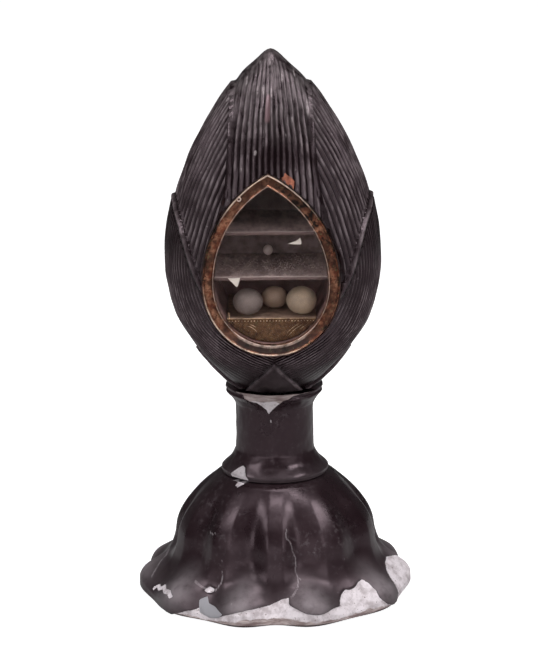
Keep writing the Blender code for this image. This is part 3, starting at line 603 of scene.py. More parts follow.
def coated_wood(name, clean):
    """Black lacquer over white ground over wood; 'bare' and 'wood' say what is lost.

    How clean the ground and the wood have stayed is a share of their full brightness.
    """
    material, tree, sockets = new_material(name, LACQUER)
    white, grey, beige = (
        tuple(clean * part for part in colour) for colour in (GROUND_WHITE, GROUND_GREY, WOOD_BEIGE)
    )
    cloud = speckle(tree, 60.0, 0.5, 0.22)
    film = speckle(tree, 900.0, 0.30, 0.10) * speckle(tree, 110.0, 0.35, 0.15) * 0.20
    film = calc("MAXIMUM", film, attribute(tree, "dusty") * speckle(tree, 330.0, 0.92, 0.30))
    lacquer = blend(film, blend(cloud, LACQUER_BLACK, LACQUER_BROWN), LACQUER_DUST)
    ground = blend(speckle(tree, 420.0, 0.38, 0.16), white, grey)
    ground = blend(speckle(tree, 1500.0, 0.16, 0.05), ground, WOOD_STAIN)
    ground = blend(step_up(attribute(tree, "patch"), -0.15, 0.10), ground, PATCH_GREY)
    wood = blend(speckle(tree, 260.0, 0.55, 0.18, (1.0, 1.0, 5.0)), beige, WOOD_STAIN)
    # Painted shade: the bare wood is painted dark along its lowest edge, where the foot meets the table.
    wood = blend(step_up(attribute(tree, "level"), 0.20, 0.70), WOOD_CONTACT_SHADE, wood)
    frayed = attribute(tree, "wood") + (speckle(tree, 350.0, 0.5, 0.3) - 0.5) * 0.9
    under = blend(step_up(frayed, -0.15, 0.15), ground, wood)
    bare = calc("MAXIMUM", attribute(tree, "bare"), attribute(tree, "patch"))
    lost = step_up(bare, -0.02, 0.05)
    border = step_up(bare, -0.16, -0.02) * (1.0 - lost)
    lacquer = blend(border * 0.7, lacquer, CRACK_BLACK)
    hairline = step_up(attribute(tree, "crack"), 0.25, 0.75) * speckle(tree, 900.0, 0.62, 0.2)
    lacquer = blend(hairline * 0.8, lacquer, LACQUER_DUST)
    feed(sockets["Base Color"], blend(lost, lacquer, under))
    feed(sockets["Roughness"], mixed(lost, film * 0.40 + (cloud * 0.12 + 0.24), BARE_ROUGHNESS))
    relief(tree, sockets, 190.0, 6.0, 0.00018, 0.6)
    return material


foot_sizes = foot_rows()
wide = FOOT_COLUMNS + 1
turn = np.linspace(-math.pi, math.pi, wide)
carved = np.radians(np.interp(np.degrees(turn), GROOVES_EVEN, GROOVES_CARVED))
foot, foot_azimuth, foot_level = rolled_blank("lobed_foot", foot_sizes, turn, carved)
foot_level_above_lip = foot_level - np.outer(
    foot_sizes["lip"], FOOT_LIP_WAVE * np.cos(FOOT_LOBES * turn)).ravel()

# The way down the foot's profile, and the heights that it passes on the outside
steps = np.hypot(np.diff(foot_sizes["radius"]), np.diff(foot_sizes["height"]))
way = np.concatenate(((0.0,), np.cumsum(steps)))
outer = foot_sizes["height"] > 0
falling = np.argsort(foot_sizes["height"][outer])
outside_heights = foot_sizes["height"][outer][falling]
outside_ways = way[outer][falling]


def foot_loss(*outlines):
    """Signed distance to the nearest loss, measured along the foot's surface."""
    radius = FOOT_MIDDLE_RADIUS
    fall = np.interp(foot_level_above_lip, outside_heights, outside_ways)
    under = np.repeat(way, wide) > outside_ways.max()
    places = np.column_stack((foot_azimuth * radius, np.where(under, np.repeat(way, wide), fall)))
    best = np.full(len(places), -1.0)
    for outline in outlines:
        corners = np.array(outline, float) * (math.radians(radius), 0.001)
        level = corners[:, 1]
        down = np.interp(level, outside_heights, outside_ways)
        corners[:, 1] = np.where(level < 0, outside_ways.max() - level, down)
        for turned in (-2 * math.pi * radius, 0.0, 2 * math.pi * radius):
            moved = corners + (turned, 0.0)
            near = np.abs(places[:, 0] - moved[:, 0].mean()) < np.ptp(moved[:, 0]) + LOSS_REACH
            if near.any():
                best[near] = np.maximum(best[near], signed_distance(moved, places[near]))
    return best


to_metres = (math.radians(FOOT_MIDDLE_RADIUS), 0.001)
foot_places = np.column_stack((foot_azimuth * FOOT_MIDDLE_RADIUS, foot_level_above_lip))
crack_lines = [np.array(line, float) * to_metres for line in CRACKS]
crack = np.exp(-(line_distance(crack_lines, foot_places) / CRACK_WIDTH) ** 2)
for speck in np.array(SPECKS, float) * to_metres:
    crack = np.maximum(crack, np.exp(-(np.linalg.norm(foot_places - speck, axis=1) / SPECK_SIZE) ** 2))
in_grooves = np.tile((0.5 - 0.5 * np.cos(FOOT_LOBES * turn)) ** 2, len(way))
dusty = DUST_ON_BRIM + (1 - DUST_ON_BRIM) * in_grooves
store(
    foot.data,
    loss=foot_loss(BRIM_LOSS, COLLAR_LOSS, LIP_NICK, LEFT_PIT, *BACK_LOSSES),
    wood=TO_MILLIMETRES * foot_loss(BARE_WOOD),
    dusty=np.repeat(foot_sizes["brim"] * foot_sizes["free"], wide) * dusty,
    patch=TO_MILLIMETRES * foot_loss(GREY_PATCH),
    crack=crack * np.repeat(outer, wide),
    level=TO_MILLIMETRES * foot_level,
)
run_tree(foot, ROLLED, {
    "Lobes": float(FOOT_LOBES),
    "Groove Depth": FOOT_GROOVE_DEPTH,
    "Groove Softness": FOOT_GROOVE_SOFTNESS,
    "Rim Wave": FOOT_RIM_WAVE,
    "Lip Wave": FOOT_LIP_WAVE,
    "Front Dip": FOOT_FRONT_DIP,
    "Dip Angle": FOOT_DIP_ANGLE,
    "Loss Depth": COAT_THICKNESS,
    "Ragged Edge": 0.0004,
    "Unevenness": 0.0005,
    "Material": coated_wood("lacquered foot", 1.0),
})
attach(foot, "root")
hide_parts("foot")

# The neck: turned from wood between a collar that caps the foot and a cup with two thin lips that
# takes the bud. Its lacquer has come off under the lips, and a chip of ground shows at the collar.

NECK_LOW, NECK_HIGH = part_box("neck")
NECK_BOTTOM = NECK_LOW.z
NECK_TOP = NECK_HIGH.z
NECK_STEM_RADIUS = 0.0094
NECK_COLLAR_RADIUS = 0.0129
NECK_COLLAR_HEIGHT = 0.0062
NECK_COLLAR_EDGE = 0.0011
NECK_CUP_RADIUS = 0.0117
NECK_CUP_HEIGHT = 0.0052
NECK_LIP_HEIGHT = 0.0008
NECK_LIP_NOTCH = 0.0004
NECK_COLUMNS = 320
NECK_STEPS_PER_ROW = 8
# The wood is bare under the lips down to this far below the top
NECK_BARE_HEIGHT = 0.0022
NECK_DUST = 0.1
NECK_DUST_HEIGHT = 0.0035
NECK_DUST_FADE = 0.0025
NECK_END_BAND = 0.0003

TONGUE_LOSS = (
    (-62, 50.9), (-59, 50.5), (-44, 50.0), (-37, 48.9), (-33, 48.2), (-22, 47.9), (-12, 46.0),
    (-8.5, 45.1), (-2, 46.3), (7, 47.9), (12, 49.1), (22, 49.6), (32, 49.9), (47, 50.3), (66, 50.5),
    (66, 50.9),
)
COLLAR_CHIP = (
    (-57, 29.9), (-55, 30.6), (-50, 31.8), (-45, 32.5), (-40, 32.1), (-36, 31.3), (-32, 30.2), (-30, 28.9),
    (-52, 28.9),
)
NECK_PITS = (
    ((-7, 43.9), (-4, 43.6), (-4.5, 42.9), (-7, 43.1)),
    ((96, 41.0), (101, 40.6), (101, 38.4), (97, 38.2)),
)


def neck_rows():
    """Rows from the middle of the top, down the cup, the stem and the collar, to the middle below."""
    stem = NECK_STEM_RADIUS
    collar = NECK_COLLAR_RADIUS - stem
    cup = NECK_CUP_RADIUS - stem
    slope = NECK_COLLAR_HEIGHT - NECK_COLLAR_EDGE
    lips = NECK_TOP - 2 * NECK_LIP_HEIGHT
    fall = NECK_CUP_HEIGHT - 2 * NECK_LIP_HEIGHT
    profile = (
        (NECK_CUP_RADIUS - 0.5 * NECK_LIP_NOTCH, NECK_TOP),
        (NECK_CUP_RADIUS, NECK_TOP - 0.5 * NECK_LIP_HEIGHT),
        (NECK_CUP_RADIUS - NECK_LIP_NOTCH, NECK_TOP - NECK_LIP_HEIGHT),
        (NECK_CUP_RADIUS - 0.3 * NECK_LIP_NOTCH, lips),
        (stem + 0.45 * cup, lips - 0.35 * fall),
        (stem + 0.12 * cup, lips - 0.70 * fall),
        (stem, NECK_TOP - NECK_CUP_HEIGHT),
        (stem, 0.5 * (NECK_TOP - NECK_CUP_HEIGHT + NECK_BOTTOM + NECK_COLLAR_HEIGHT)),
        (stem + 0.02 * collar, NECK_BOTTOM + NECK_COLLAR_HEIGHT),
        (stem + 0.14 * collar, NECK_BOTTOM + NECK_COLLAR_EDGE + 0.72 * slope),
        (stem + 0.45 * collar, NECK_BOTTOM + NECK_COLLAR_EDGE + 0.38 * slope),
        (NECK_COLLAR_RADIUS, NECK_BOTTOM + NECK_COLLAR_EDGE),
        (NECK_COLLAR_RADIUS - 0.3 * NECK_COLLAR_EDGE, NECK_BOTTOM),
    )
    radius, height = along_profile(profile, NECK_STEPS_PER_ROW)
    height = np.concatenate(((NECK_TOP,), np.clip(height, NECK_BOTTOM, NECK_TOP), (NECK_BOTTOM,)))
    free = ramp(height - NECK_BOTTOM, 0.0, NECK_END_BAND) * ramp(NECK_TOP - height, 0.0, NECK_END_BAND)
    return {"radius": np.pad(np.minimum(radius, NECK_COLLAR_RADIUS), 1), "height": height, "free": free}


turn = np.linspace(-math.pi, math.pi, NECK_COLUMNS + 1)
neck, neck_azimuth, neck_level = rolled_blank("turned_neck", neck_rows(), turn, turn)
neck_places = np.column_stack((neck_azimuth * NECK_STEM_RADIUS, neck_level))
neck_losses = [
    signed_distance(np.array(outline, float) * (math.radians(NECK_STEM_RADIUS), 0.001), neck_places)
    for outline in (TONGUE_LOSS, COLLAR_CHIP, *NECK_PITS)
]
store(
    neck.data,
    loss=np.maximum(np.max(neck_losses, axis=0), -1.0),
    wood=TO_MILLIMETRES * (neck_level - (NECK_TOP - NECK_BARE_HEIGHT)),
    dusty=NECK_DUST * ramp(NECK_BOTTOM + NECK_DUST_HEIGHT - neck_level, 0.0, NECK_DUST_FADE),
    patch=-1.0,
    crack=0.0,
    level=9.0,
)
run_tree(neck, ROLLED, {
    "Loss Depth": 0.0003,
    "Ragged Edge": 0.0003,
    "Ragged Scale": 1100.0,
    "Unevenness": 0.0004,
    "Uneven Scale": 300.0,
    "Material": coated_wood("lacquered neck", 0.80),
})
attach(neck, "root")
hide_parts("neck")

# The bud: turned and carved from wood in overlapping petals, each with a raised margin, a groove
# inside it and close parallel veins cut with a gouge. It is black lacquered and worn grey at the tip; its
# ridges are grey from wear and from painted highlight, and its valleys are painted darker as shade.
# Its blank is a net of lines along veins and margins, laid out flat.

BUD_LOW, BUD_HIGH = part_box("bud")
BUD_BOTTOM = BUD_LOW.z
BUD_TOP = BUD_HIGH.z
BUD_HEIGHT = BUD_TOP - BUD_BOTTOM
BUD_RADIUS = 0.0238
BUD_LEFT_LEAN = 0.00010
BUD_PROFILE = (
    (0.00, 0.345), (0.05, 0.505), (0.12, 0.700), (0.22, 0.898), (0.375, 1.000),
    (0.555, 0.931), (0.70, 0.766), (0.83, 0.530), (0.93, 0.286), (0.975, 0.120),
)
# The net ends here, and a few rings close the tip above it
RING_TOP = BUD_BOTTOM + BUD_PROFILE[-1][0] * BUD_HEIGHT
PETAL_RISE = {"side": 0.0009, "face": 0.0013, "outer": 0.0016, "base": 0.0023}
SIDE_TIP = BUD_BOTTOM + 0.0718
BAND_HALF_WIDTHS = (
    (0.0, 0.0085), (0.15, 0.0150), (0.30, 0.0163), (0.414, 0.0159), (0.483, 0.0138), (0.565, 0.0121),
    (0.61, 0.0111), (0.70, 0.0102), (0.80, 0.0097), (0.90, 0.0093), (1.0, 0.0092),
)
OUTER_TIP = BUD_BOTTOM + 0.0457
OUTER_MEETING = BUD_BOTTOM + 0.0119
BASE_TIP = BUD_BOTTOM + 0.0088
MARGIN_SLOPE = 0.0003
MARGIN_RIM = 0.0005
MARGIN_GROOVE = 0.0009
VEIN_START = 0.0014
SIDE_VEIN_START = 0.0003
MARGIN_FADE = 0.0004
MARGIN_CREST = 0.00012
# How much of a raised rim with a groove inside it each petal has
RIM_SHARE = {"side": 0.0, "face": 1.0, "outer": 1.0, "base": 0.5}
GROOVE_DEPTH = 0.0003
VEIN_DEPTH = 0.00066
VEIN_STEP = 0.00090
MARGIN_POINTS = 90
MARGIN_CROWDING = 1.6
# For each layer: the distance between its veins where the bud has this share of its greatest radius,
# the power of the radius that the distance follows, lines of the net to a vein, and depth
VEINS = {
    "core": (0.00150, 0.90, 0.37, 8, 1.00),
    "face": (0.00150, 0.90, 0.37, 6, 0.90),
    "side": (0.00162, 0.94, 0.50, 6, 1.00),
    "outer": (0.00110, 1.00, -0.80, 4, 0.85),
}
# The veins of the side petals bend outwards on their way down, round arcs of this radius
SWEEP_RADIUS = 0.150
SWEEP_SOFTNESS = 0.35
VEIN_FADE_LOW = (0.03, 0.12)
VEIN_FADE_HIGH = (0.78, 1.04)
CORE_SIDE_FADE = (0.05, 0.32)
OUTER_FADE = 0.30
OUTER_FADE_SPAN = (0.30, 0.44)
SEAM_SNAP = 0.0002
END_MARGIN = 0.0008
WIDEST_PETAL = math.radians(100)
NET_TOLERANCE = 1e-6
DISTANCE_BATCH = 4096
# How far below the top the tip is worn: from the first, and fully from the second
WORN_TIP = (0.021, 0.0075)
CHIP_RADIUS = 0.82 * BUD_RADIUS
SHARP_ANGLE = math.radians(62)
# The carver's hand steadies within these lengths of the window, of the bottom and of the tip
STEADY_AT_WINDOW = 0.004
STEADY_AT_BOTTOM = 0.003
STEADY_AT_TIP = 0.004

WINDOW_HALF_WIDTH = 0.0157
WINDOW_ARCH_HEIGHT = 0.0255
WINDOW_BOWL_DEPTH = 0.0168
WINDOW_Z = BUD_BOTTOM + 0.0278
WINDOW_LEFT_SHIFT = 0.0005
WINDOW_LEAN = math.radians(1.3)
FRAME_WIDTH = 0.0027
FRAME_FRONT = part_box("window_frame")[0].y
FRAME_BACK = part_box("window_frame")[1].y
GLASS_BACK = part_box("window_glass")[1].y
CLEARANCE = 0.0003
GLASS_INSET = 0.0015
NICHE_INSET = 0.0024
NICHE_FRONT = GLASS_BACK + CLEARANCE
NICHE_BACK = NICHE_FRONT + 0.0262


def drop_right(inset, arch_steps, bowl_steps):
    """Right half of the window's drop outline from its tip down, round its own centre."""
    half = WINDOW_HALF_WIDTH
    arch_radius = (half ** 2 + WINDOW_ARCH_HEIGHT ** 2) / (2 * half)
    centre = half - arch_radius
    inner = arch_radius - inset
    arch = math.acos(-centre / inner) * (1 - np.arange(arch_steps) / arch_steps)
    bowl = 0.5 * math.pi * np.arange(bowl_steps + 1) / bowl_steps
    x = np.concatenate((centre + inner * np.cos(arch), (half - inset) * np.cos(bowl)))
    z = np.concatenate((inner * np.sin(arch), -(WINDOW_BOWL_DEPTH - inset) * np.sin(bowl)))
    return x, z


def drop_outline(inset, arch_steps=10, bowl_steps=10):
    """The whole outline, clockwise from its tip, leaning and shifted as the window is."""
    x, z = drop_right(inset, arch_steps, bowl_steps)
    x = np.concatenate((x, -x[-2:0:-1]))
    z = np.concatenate((z, z[-2:0:-1]))
    cosine, sine = math.cos(WINDOW_LEAN), math.sin(WINDOW_LEAN)
    return x * cosine - z * sine - WINDOW_LEFT_SHIFT, WINDOW_Z + x * sine + z * cosine


def drop_half_width(z, inset=0.0):
    """Half width of the upright drop at each height, 0 outside it."""
    x, heights = drop_right(inset, 24, 24)
    return np.interp(-(z - WINDOW_Z), -heights, x, left=0.0, right=0.0)


def core_radius(z):
    return BUD_RADIUS * smooth_curve(BUD_PROFILE, (z - BUD_BOTTOM) / BUD_HEIGHT)


def side_half_angle(z):
    """The side petals leave a band up the front and the back, hardly narrower at their tips."""
    reach = core_radius(z) + PETAL_RISE["side"]
    half_width = smooth_curve(BAND_HALF_WIDTHS, (z - BUD_BOTTOM) / BUD_HEIGHT)
    return np.where(z < SIDE_TIP, np.arccos(np.minimum(half_width / reach, 1.0)), 0.0)


def spread(z, tip, shares, degrees):
    """Half angle of a petal that spreads downwards from its tip."""
    curve = np.column_stack((np.multiply(shares, tip - BUD_BOTTOM), np.radians(degrees)))
    return np.where(z < tip, smooth_curve(curve, z - BUD_BOTTOM), 0.0)


# Shares of the tip's height, and half angles there in degrees; the outer petals meet under the window
OUTER_SPREAD = (
    (0.260, 0.420, 0.565, 0.670, 0.780, 0.865, 0.920, 0.965, 1.0),
    (91, 66, 51.5, 44.5, 38, 31, 24, 14, 0),
)
BASE_SPREAD = ((0.0, 0.18, 0.60, 0.86, 1.0), (40, 28, 10, 3.4, 0))
# The petal on the back has the outline that the window has on the front
HALF_ANGLE = {
    "side": side_half_angle,
    "outer": lambda z: spread(z, OUTER_TIP, *OUTER_SPREAD),
    "base": lambda z: spread(z, BASE_TIP, *BASE_SPREAD),
    "face": lambda z: np.arcsin(np.minimum(drop_half_width(z) / core_radius(z), 1.0)),
}
PETAL_SPAN = {
    "side": (BUD_BOTTOM, SIDE_TIP),
    "face": (WINDOW_Z - WINDOW_BOWL_DEPTH, WINDOW_Z + WINDOW_ARCH_HEIGHT),
    "outer": (OUTER_MEETING, OUTER_TIP),
    "base": (BUD_BOTTOM, BASE_TIP),
}
PETALS = (
    ("side", 0.5 * math.pi), ("face", math.pi), ("outer", 0.5 * math.pi),
    ("base", 0.0), ("base", 0.5 * math.pi), ("base", math.pi),
)
LAYERS = ("core", "side", "face", "outer", "base")


def on_core(azimuth, z):
    radius = core_radius(z)
    return np.stack((radius * np.sin(azimuth), -radius * np.cos(azimuth), z), axis=-1)


def margin_heights(layer):
    """Heights down a petal's margin, crowded towards its tip."""
    low, high = PETAL_SPAN[layer]
    return high - (high - low) * (np.arange(MARGIN_POINTS + 1) / MARGIN_POINTS) ** MARGIN_CROWDING


def margin_line(petal):
    """Points of a petal's outline on the core, up one side and down the other."""
    layer, middle = petal
    z = margin_heights(layer)
    angle = HALF_ANGLE[layer](z)
    left = on_core(middle - angle, z)[::-1]
    return np.concatenate((left, on_core(middle + angle, z)[1:]))


MARGINS = {petal: margin_line(petal) for petal in PETALS}


def inside_distance(petal, azimuth, z):
    """Distance from a petal's margin along the surface, positive inside the petal."""
    starts = MARGINS[petal][:-1]
    along = np.diff(MARGINS[petal], axis=0)
    lengths = np.maximum((along ** 2).sum(1), 1e-18)
    points = on_core(azimuth, z)
    gaps = np.empty(len(points))
    for first in range(0, len(points), DISTANCE_BATCH):
        batch = slice(first, first + DISTANCE_BATCH)
        offset = points[batch, None] - starts
        share = np.clip((offset * along).sum(2) / lengths, 0, 1)
        gaps[batch] = np.linalg.norm(offset - share[..., None] * along, axis=2).min(1)
    layer, middle = petal
    return np.where(np.abs(azimuth - middle) < HALF_ANGLE[layer](z), gaps, -gaps)


def vein_pitch(layer, z):
    """Distance between neighbouring veins at each height."""
    pitch, share, power = VEINS[layer][:3]
    return pitch * (core_radius(z) / (share * BUD_RADIUS)) ** power


def vein_number(layer, azimuth, z):
    """Whole numbers lie on the ridges and halves in the valleys between them."""
    if layer == "side":
        aside = 0.5 * math.pi - azimuth
        swept = (SIDE_TIP - z) ** 2 / (2 * SWEEP_RADIUS) * aside / np.hypot(aside, SWEEP_SOFTNESS)
        return (core_radius(z) * aside + swept) / vein_pitch(layer, z)
    across = 0.5 * math.pi - azimuth if layer == "outer" else np.sin(azimuth)
    return core_radius(z) * across / vein_pitch(layer, z)


def vein_azimuth(layer, number, z, behind):
    """Azimuth of a vein at each height, nan where it has run out."""
    if layer == "side":
        front, back = np.zeros(np.shape(z)), np.full(np.shape(z), math.pi)
        azimuth = halve(lambda a: vein_number(layer, a, z) > number, front, back, 24)
        return np.where(np.abs(number) < vein_number(layer, front, z), azimuth, np.nan)
    across = number * vein_pitch(layer, z) / core_radius(z)
    if layer == "outer":
        azimuth = 0.5 * math.pi - across
        return np.where((azimuth > 0) & (azimuth < math.pi), azimuth, np.nan)
    across = np.where(np.abs(across) < 1, across, np.nan)
    return math.pi - np.arcsin(across) if behind else np.arcsin(across)


def petal_distances(azimuth, z):
    return np.array([inside_distance(petal, azimuth, z) for petal in PETALS])


def petal_surface(distances):
    """Rise above the core, number of the layer that shows, and depth inside its margin."""
    rise = np.zeros(distances.shape[1])
    layer = np.zeros(distances.shape[1], int)
    depth = np.full(distances.shape[1], 1.0)
    for (name, _), distance in zip(PETALS, distances):
        dip = ramp(distance, MARGIN_RIM, MARGIN_GROOVE) * (1 - ramp(distance, MARGIN_GROOVE, VEIN_START))
        middle = 0.5 * MARGIN_RIM
        crest = 1 - np.minimum(((distance - middle) / middle) ** 2, 1.0)
        rim = RIM_SHARE[name] * (MARGIN_CREST * crest - GROOVE_DEPTH * dip)
        rise += (PETAL_RISE[name] + rim - rise) * ramp(distance, -MARGIN_SLOPE, 0)
        shows = distance > -0.5 * MARGIN_SLOPE
        layer = np.where(shows, LAYERS.index(name), layer)
        depth = np.where(shows, distance, depth)
    return rise, layer, depth


def veins_show(name, distances):
    """True where a layer's veins are open: inside its margin and clear of the petals over it."""
    over = [i for i, (petal, _) in enumerate(PETALS) if LAYERS.index(petal) > LAYERS.index(name)]
    clear = (distances[over] < -MARGIN_SLOPE).all(axis=0)
    own = [i for i, (petal, _) in enumerate(PETALS) if petal == name]
    if own:
        clear &= (distances[own] > (SIDE_VEIN_START if name == "side" else VEIN_START)).any(axis=0)
    return clear


def in_window(azimuth, z):
    across = core_radius(z) * np.sin(azimuth)
    return (azimuth < 0.5 * math.pi) & (across < drop_half_width(z, 0.5 * FRAME_WIDTH))


def halve(test, good, bad, steps=16):
    """Move each pair towards the place where the test changes; keeps the good side."""
    for _ in range(steps):
        middle = 0.5 * (good + bad)
        passed = test(middle)
        good = np.where(passed, middle, good)
        bad = np.where(passed, bad, middle)
    return good


def vein_lines(layer, behind=False):
    """Lines down the bud along the ridges, flanks and valleys, where their petal shows."""
    count = int(round((BUD_HEIGHT - 2 * END_MARGIN) / VEIN_STEP))
    z = np.linspace(RING_TOP - END_MARGIN, BUD_BOTTOM + END_MARGIN, count)
    net_lines = VEINS[layer][3]
    most = int(2.9 * BUD_RADIUS / VEINS[layer][0] * net_lines)
    numbers = np.arange(-most, most + 1) / net_lines
    if layer in ("core", "face"):
        numbers = numbers[numbers > 0]

    def shows(number, height):
        azimuth = vein_azimuth(layer, number, height, behind)
        known = np.isfinite(azimuth)
        azimuth = np.where(known, azimuth, 0.0)
        clear = veins_show(layer, petal_distances(azimuth, height))
        return known & clear & ~in_window(azimuth, height)

    across, down = np.meshgrid(numbers, z, indexing="ij")
    shown = shows(across.ravel(), down.ravel()).reshape(across.shape)
    runs = []
    for index, row in enumerate(shown):
        edges = np.flatnonzero(np.diff(np.concatenate(((0,), row.astype(int), (0,)))))
        runs.extend((index, first, last) for first, last in zip(edges[::2], edges[1::2] - 1))
    if not runs:
        return []
    index, first, last = np.array(runs).T
    number = numbers[index]
    top = halve(lambda h: shows(number, h), z[first], z[np.maximum(first - 1, 0)])
    low = halve(lambda h: shows(number, h), z[last], z[np.minimum(last + 1, count - 1)])
    lines = []
    for run, (i, a, b) in enumerate(runs):
        heights = np.concatenate(((top[run],), z[a:b + 1], (low[run],)))
        keep = np.concatenate(((True,), -np.diff(heights) > 0.00008))
        heights = heights[keep]
        if len(heights) > 1:
            azimuths = vein_azimuth(layer, numbers[i], heights, behind)
            lines.append(np.column_stack((azimuths, heights)))
    return lines


def margin_lines(petal, distance):
    """Lines at an even distance from a petal's margin, on both sides of its middle."""
    layer, middle = petal
    low, high = PETAL_SPAN[layer]

    def outside(azimuth, z):
        return inside_distance(petal, azimuth, z) < distance

    here = np.array((middle,))
    apex = halve(
        lambda z: outside(here, z), np.array((high + VEIN_START,)), np.array((low + 0.3 * (high - low),))
    )[0]
    heights = margin_heights(layer)
    heights = apex - (apex - low) * (high - heights) / (high - low)
    heights = heights[heights < apex - 0.00002]
    lines = []
    for sign in (-1, 1):
        limit = np.full(len(heights), middle + sign * WIDEST_PETAL)
        open_row = outside(limit, heights)
        azimuth = halve(lambda a: outside(a, heights), limit, np.full(len(heights), middle))
        good = open_row & (azimuth >= 0) & (azimuth <= math.pi)
        count = len(good) if good.all() else int(np.argmin(good))
        if count > 1:
            line = np.column_stack((azimuth[:count], heights[:count]))
            lines.append(np.concatenate((((middle, apex),), line)))
    return lines


def bud_net():
    """Points and lines on the unrolled right half: arc along x, height along y."""
    points = []
    edges = []
    for height, sides in ((RING_TOP, 30), (BUD_BOTTOM, 40)):
        arc = np.linspace(0, math.pi, sides + 1)
        points.extend(zip(arc * BUD_RADIUS, np.full(sides + 1, height)))
    seam = np.linspace(RING_TOP, BUD_BOTTOM, int(BUD_HEIGHT / VEIN_STEP))[1:-1]
    for arc in (0.0, math.pi * BUD_RADIUS):
        points.extend((arc, height) for height in seam)
    lines = []
    for layer, behind in (("side", False), ("outer", False), ("core", False), ("core", True), ("face", True)):
        lines.extend(vein_lines(layer, behind))
    rimmed = (-MARGIN_SLOPE, 0.0, 0.5 * MARGIN_RIM, MARGIN_RIM, MARGIN_GROOVE, VEIN_START)
    for petal in PETALS:
        for distance in (-MARGIN_SLOPE, 0.0, SIDE_VEIN_START) if petal[0] == "side" else rimmed:
            lines.extend(margin_lines(petal, distance))
    for line in lines:
        arc = line[:, 0] * BUD_RADIUS
        arc = np.where(arc < SEAM_SNAP, 0.0, arc)
        arc = np.where(arc > math.pi * BUD_RADIUS - SEAM_SNAP, math.pi * BUD_RADIUS, arc)
        first = len(points)
        points.extend(zip(arc, line[:, 1]))
        edges.extend((first + i, first + i + 1) for i in range(len(line) - 1))
    return points, edges


def bud_blank():
    """The net lifted to the petals' levels, mirrored and closed, with what the carving needs."""
    points, edges = bud_net()
    points = [tuple(map(float, p)) for p in points]
    result = delaunay_2d_cdt(points, edges, [], 0, NET_TOLERANCE)
    flat = np.array([tuple(p) for p in result[0]])
    azimuth = np.clip(flat[:, 0] / BUD_RADIUS, 0.0, math.pi)
    z = flat[:, 1]
    distances = petal_distances(azimuth, z)
    rise, layer, depth = petal_surface(distances)
    radius = core_radius(z) + rise
    right = np.column_stack((radius * np.sin(azimuth), -radius * np.cos(azimuth), z))
    on_seam = (flat[:, 0] < NET_TOLERANCE) | (flat[:, 0] > math.pi * BUD_RADIUS - NET_TOLERANCE)
    right[on_seam, 0] = 0.0
    mirror = np.full(len(flat), -1)
    mirror[~on_seam] = len(flat) + np.arange((~on_seam).sum())
    mirror[on_seam] = np.flatnonzero(on_seam)
    left = right[~on_seam] * (-1, 1, 1)
    faces = [tuple(face) for face in result[2]]
    faces += [(mirror[a], mirror[c], mirror[b]) for a, b, c in faces]
    number = np.zeros(len(flat))
    for code, name in enumerate(LAYERS[:4]):
        number = np.where(layer == code, vein_number(name, azimuth, z), number)
    inner = np.where(layer == LAYERS.index("side"), ramp(depth, 0.0, SIDE_VEIN_START),
                     ramp(depth, MARGIN_GROOVE, VEIN_START))
    strength = inner * (layer < LAYERS.index("base"))
    height_share = (z - BUD_BOTTOM) / BUD_HEIGHT
    strength *= ramp(height_share, *VEIN_FADE_LOW) * (1 - ramp(height_share, *VEIN_FADE_HIGH))
    strength *= np.where(layer == LAYERS.index("core"), ramp(np.abs(np.cos(azimuth)), *CORE_SIDE_FADE), 1.0)
    strength *= np.array([VEINS[name][4] for name in LAYERS[:4]] + [1.0])[layer]
    orders = [LAYERS.index(name) for name, _ in PETALS]
    above = np.max([np.where(order > layer, each, -1.0) for order, each in zip(orders, distances)], axis=0)
    strength *= ramp(-above, MARGIN_SLOPE, MARGIN_SLOPE + MARGIN_FADE)
    outer = layer == LAYERS.index("outer")
    strength *= np.where(outer, 1 - OUTER_FADE * ramp(height_share, *OUTER_FADE_SPAN), 1.0)
    rim = (1 - ramp(depth, MARGIN_RIM, MARGIN_GROOVE)) * (layer > LAYERS.index("side"))
    sides = np.concatenate((np.arange(len(flat)), np.flatnonzero(~on_seam)))
    values = {"vein": number, "vein_depth": strength, "rim": rim, "layer": layer.astype(float)}
    values = {key: each[sides] for key, each in values.items()}
    vertices = np.concatenate((right, left))
    return vertices, faces, values


def close_bud(vertices, faces, values):
    """Round the tip with a few rings and close the bottom with a fan."""
    seen = {(a, b) for face in faces for a, b in zip(face, face[1:] + face[:1])}
    after = {b: a for a, b in seen if (b, a) not in seen}
    loops = []
    while after:
        start, loop = next(iter(after)), []
        while start in after:
            loop.append(start)
            start = after.pop(start)
        loops.append(loop)
    vertices = list(map(tuple, vertices))
    extra = 0
    for loop in loops:
        here = np.array([vertices[i] for i in loop])
        level = here[:, 2].mean()
        tip = level > 0.5 * (BUD_TOP + BUD_BOTTOM)
        rings = ((0.80, 0.30), (0.55, 0.62), (0.27, 0.88)) if tip else ((0.5, 0.0),)
        centre = (0.0, 0.0, BUD_TOP if tip else BUD_BOTTOM)
        last = loop
        for width, share in rings:
            ring = here * (width, width, 1)
            ring[:, 2] += share * (centre[2] - here[:, 2])
            first = len(vertices)
            vertices.extend(map(tuple, ring))
            ring_numbers = list(range(first, first + len(loop)))
            for i in range(len(loop)):
                j = (i + 1) % len(loop)
                faces.append((last[i], last[j], ring_numbers[j], ring_numbers[i]))
            last = ring_numbers
            extra += len(loop)
        vertices.append(centre)
        extra += 1
        faces.extend((last[i], last[(i + 1) % len(loop)], len(vertices) - 1) for i in range(len(loop)))
    values = {key: np.concatenate((each, np.zeros(extra))) for key, each in values.items()}
    return vertices, faces, values


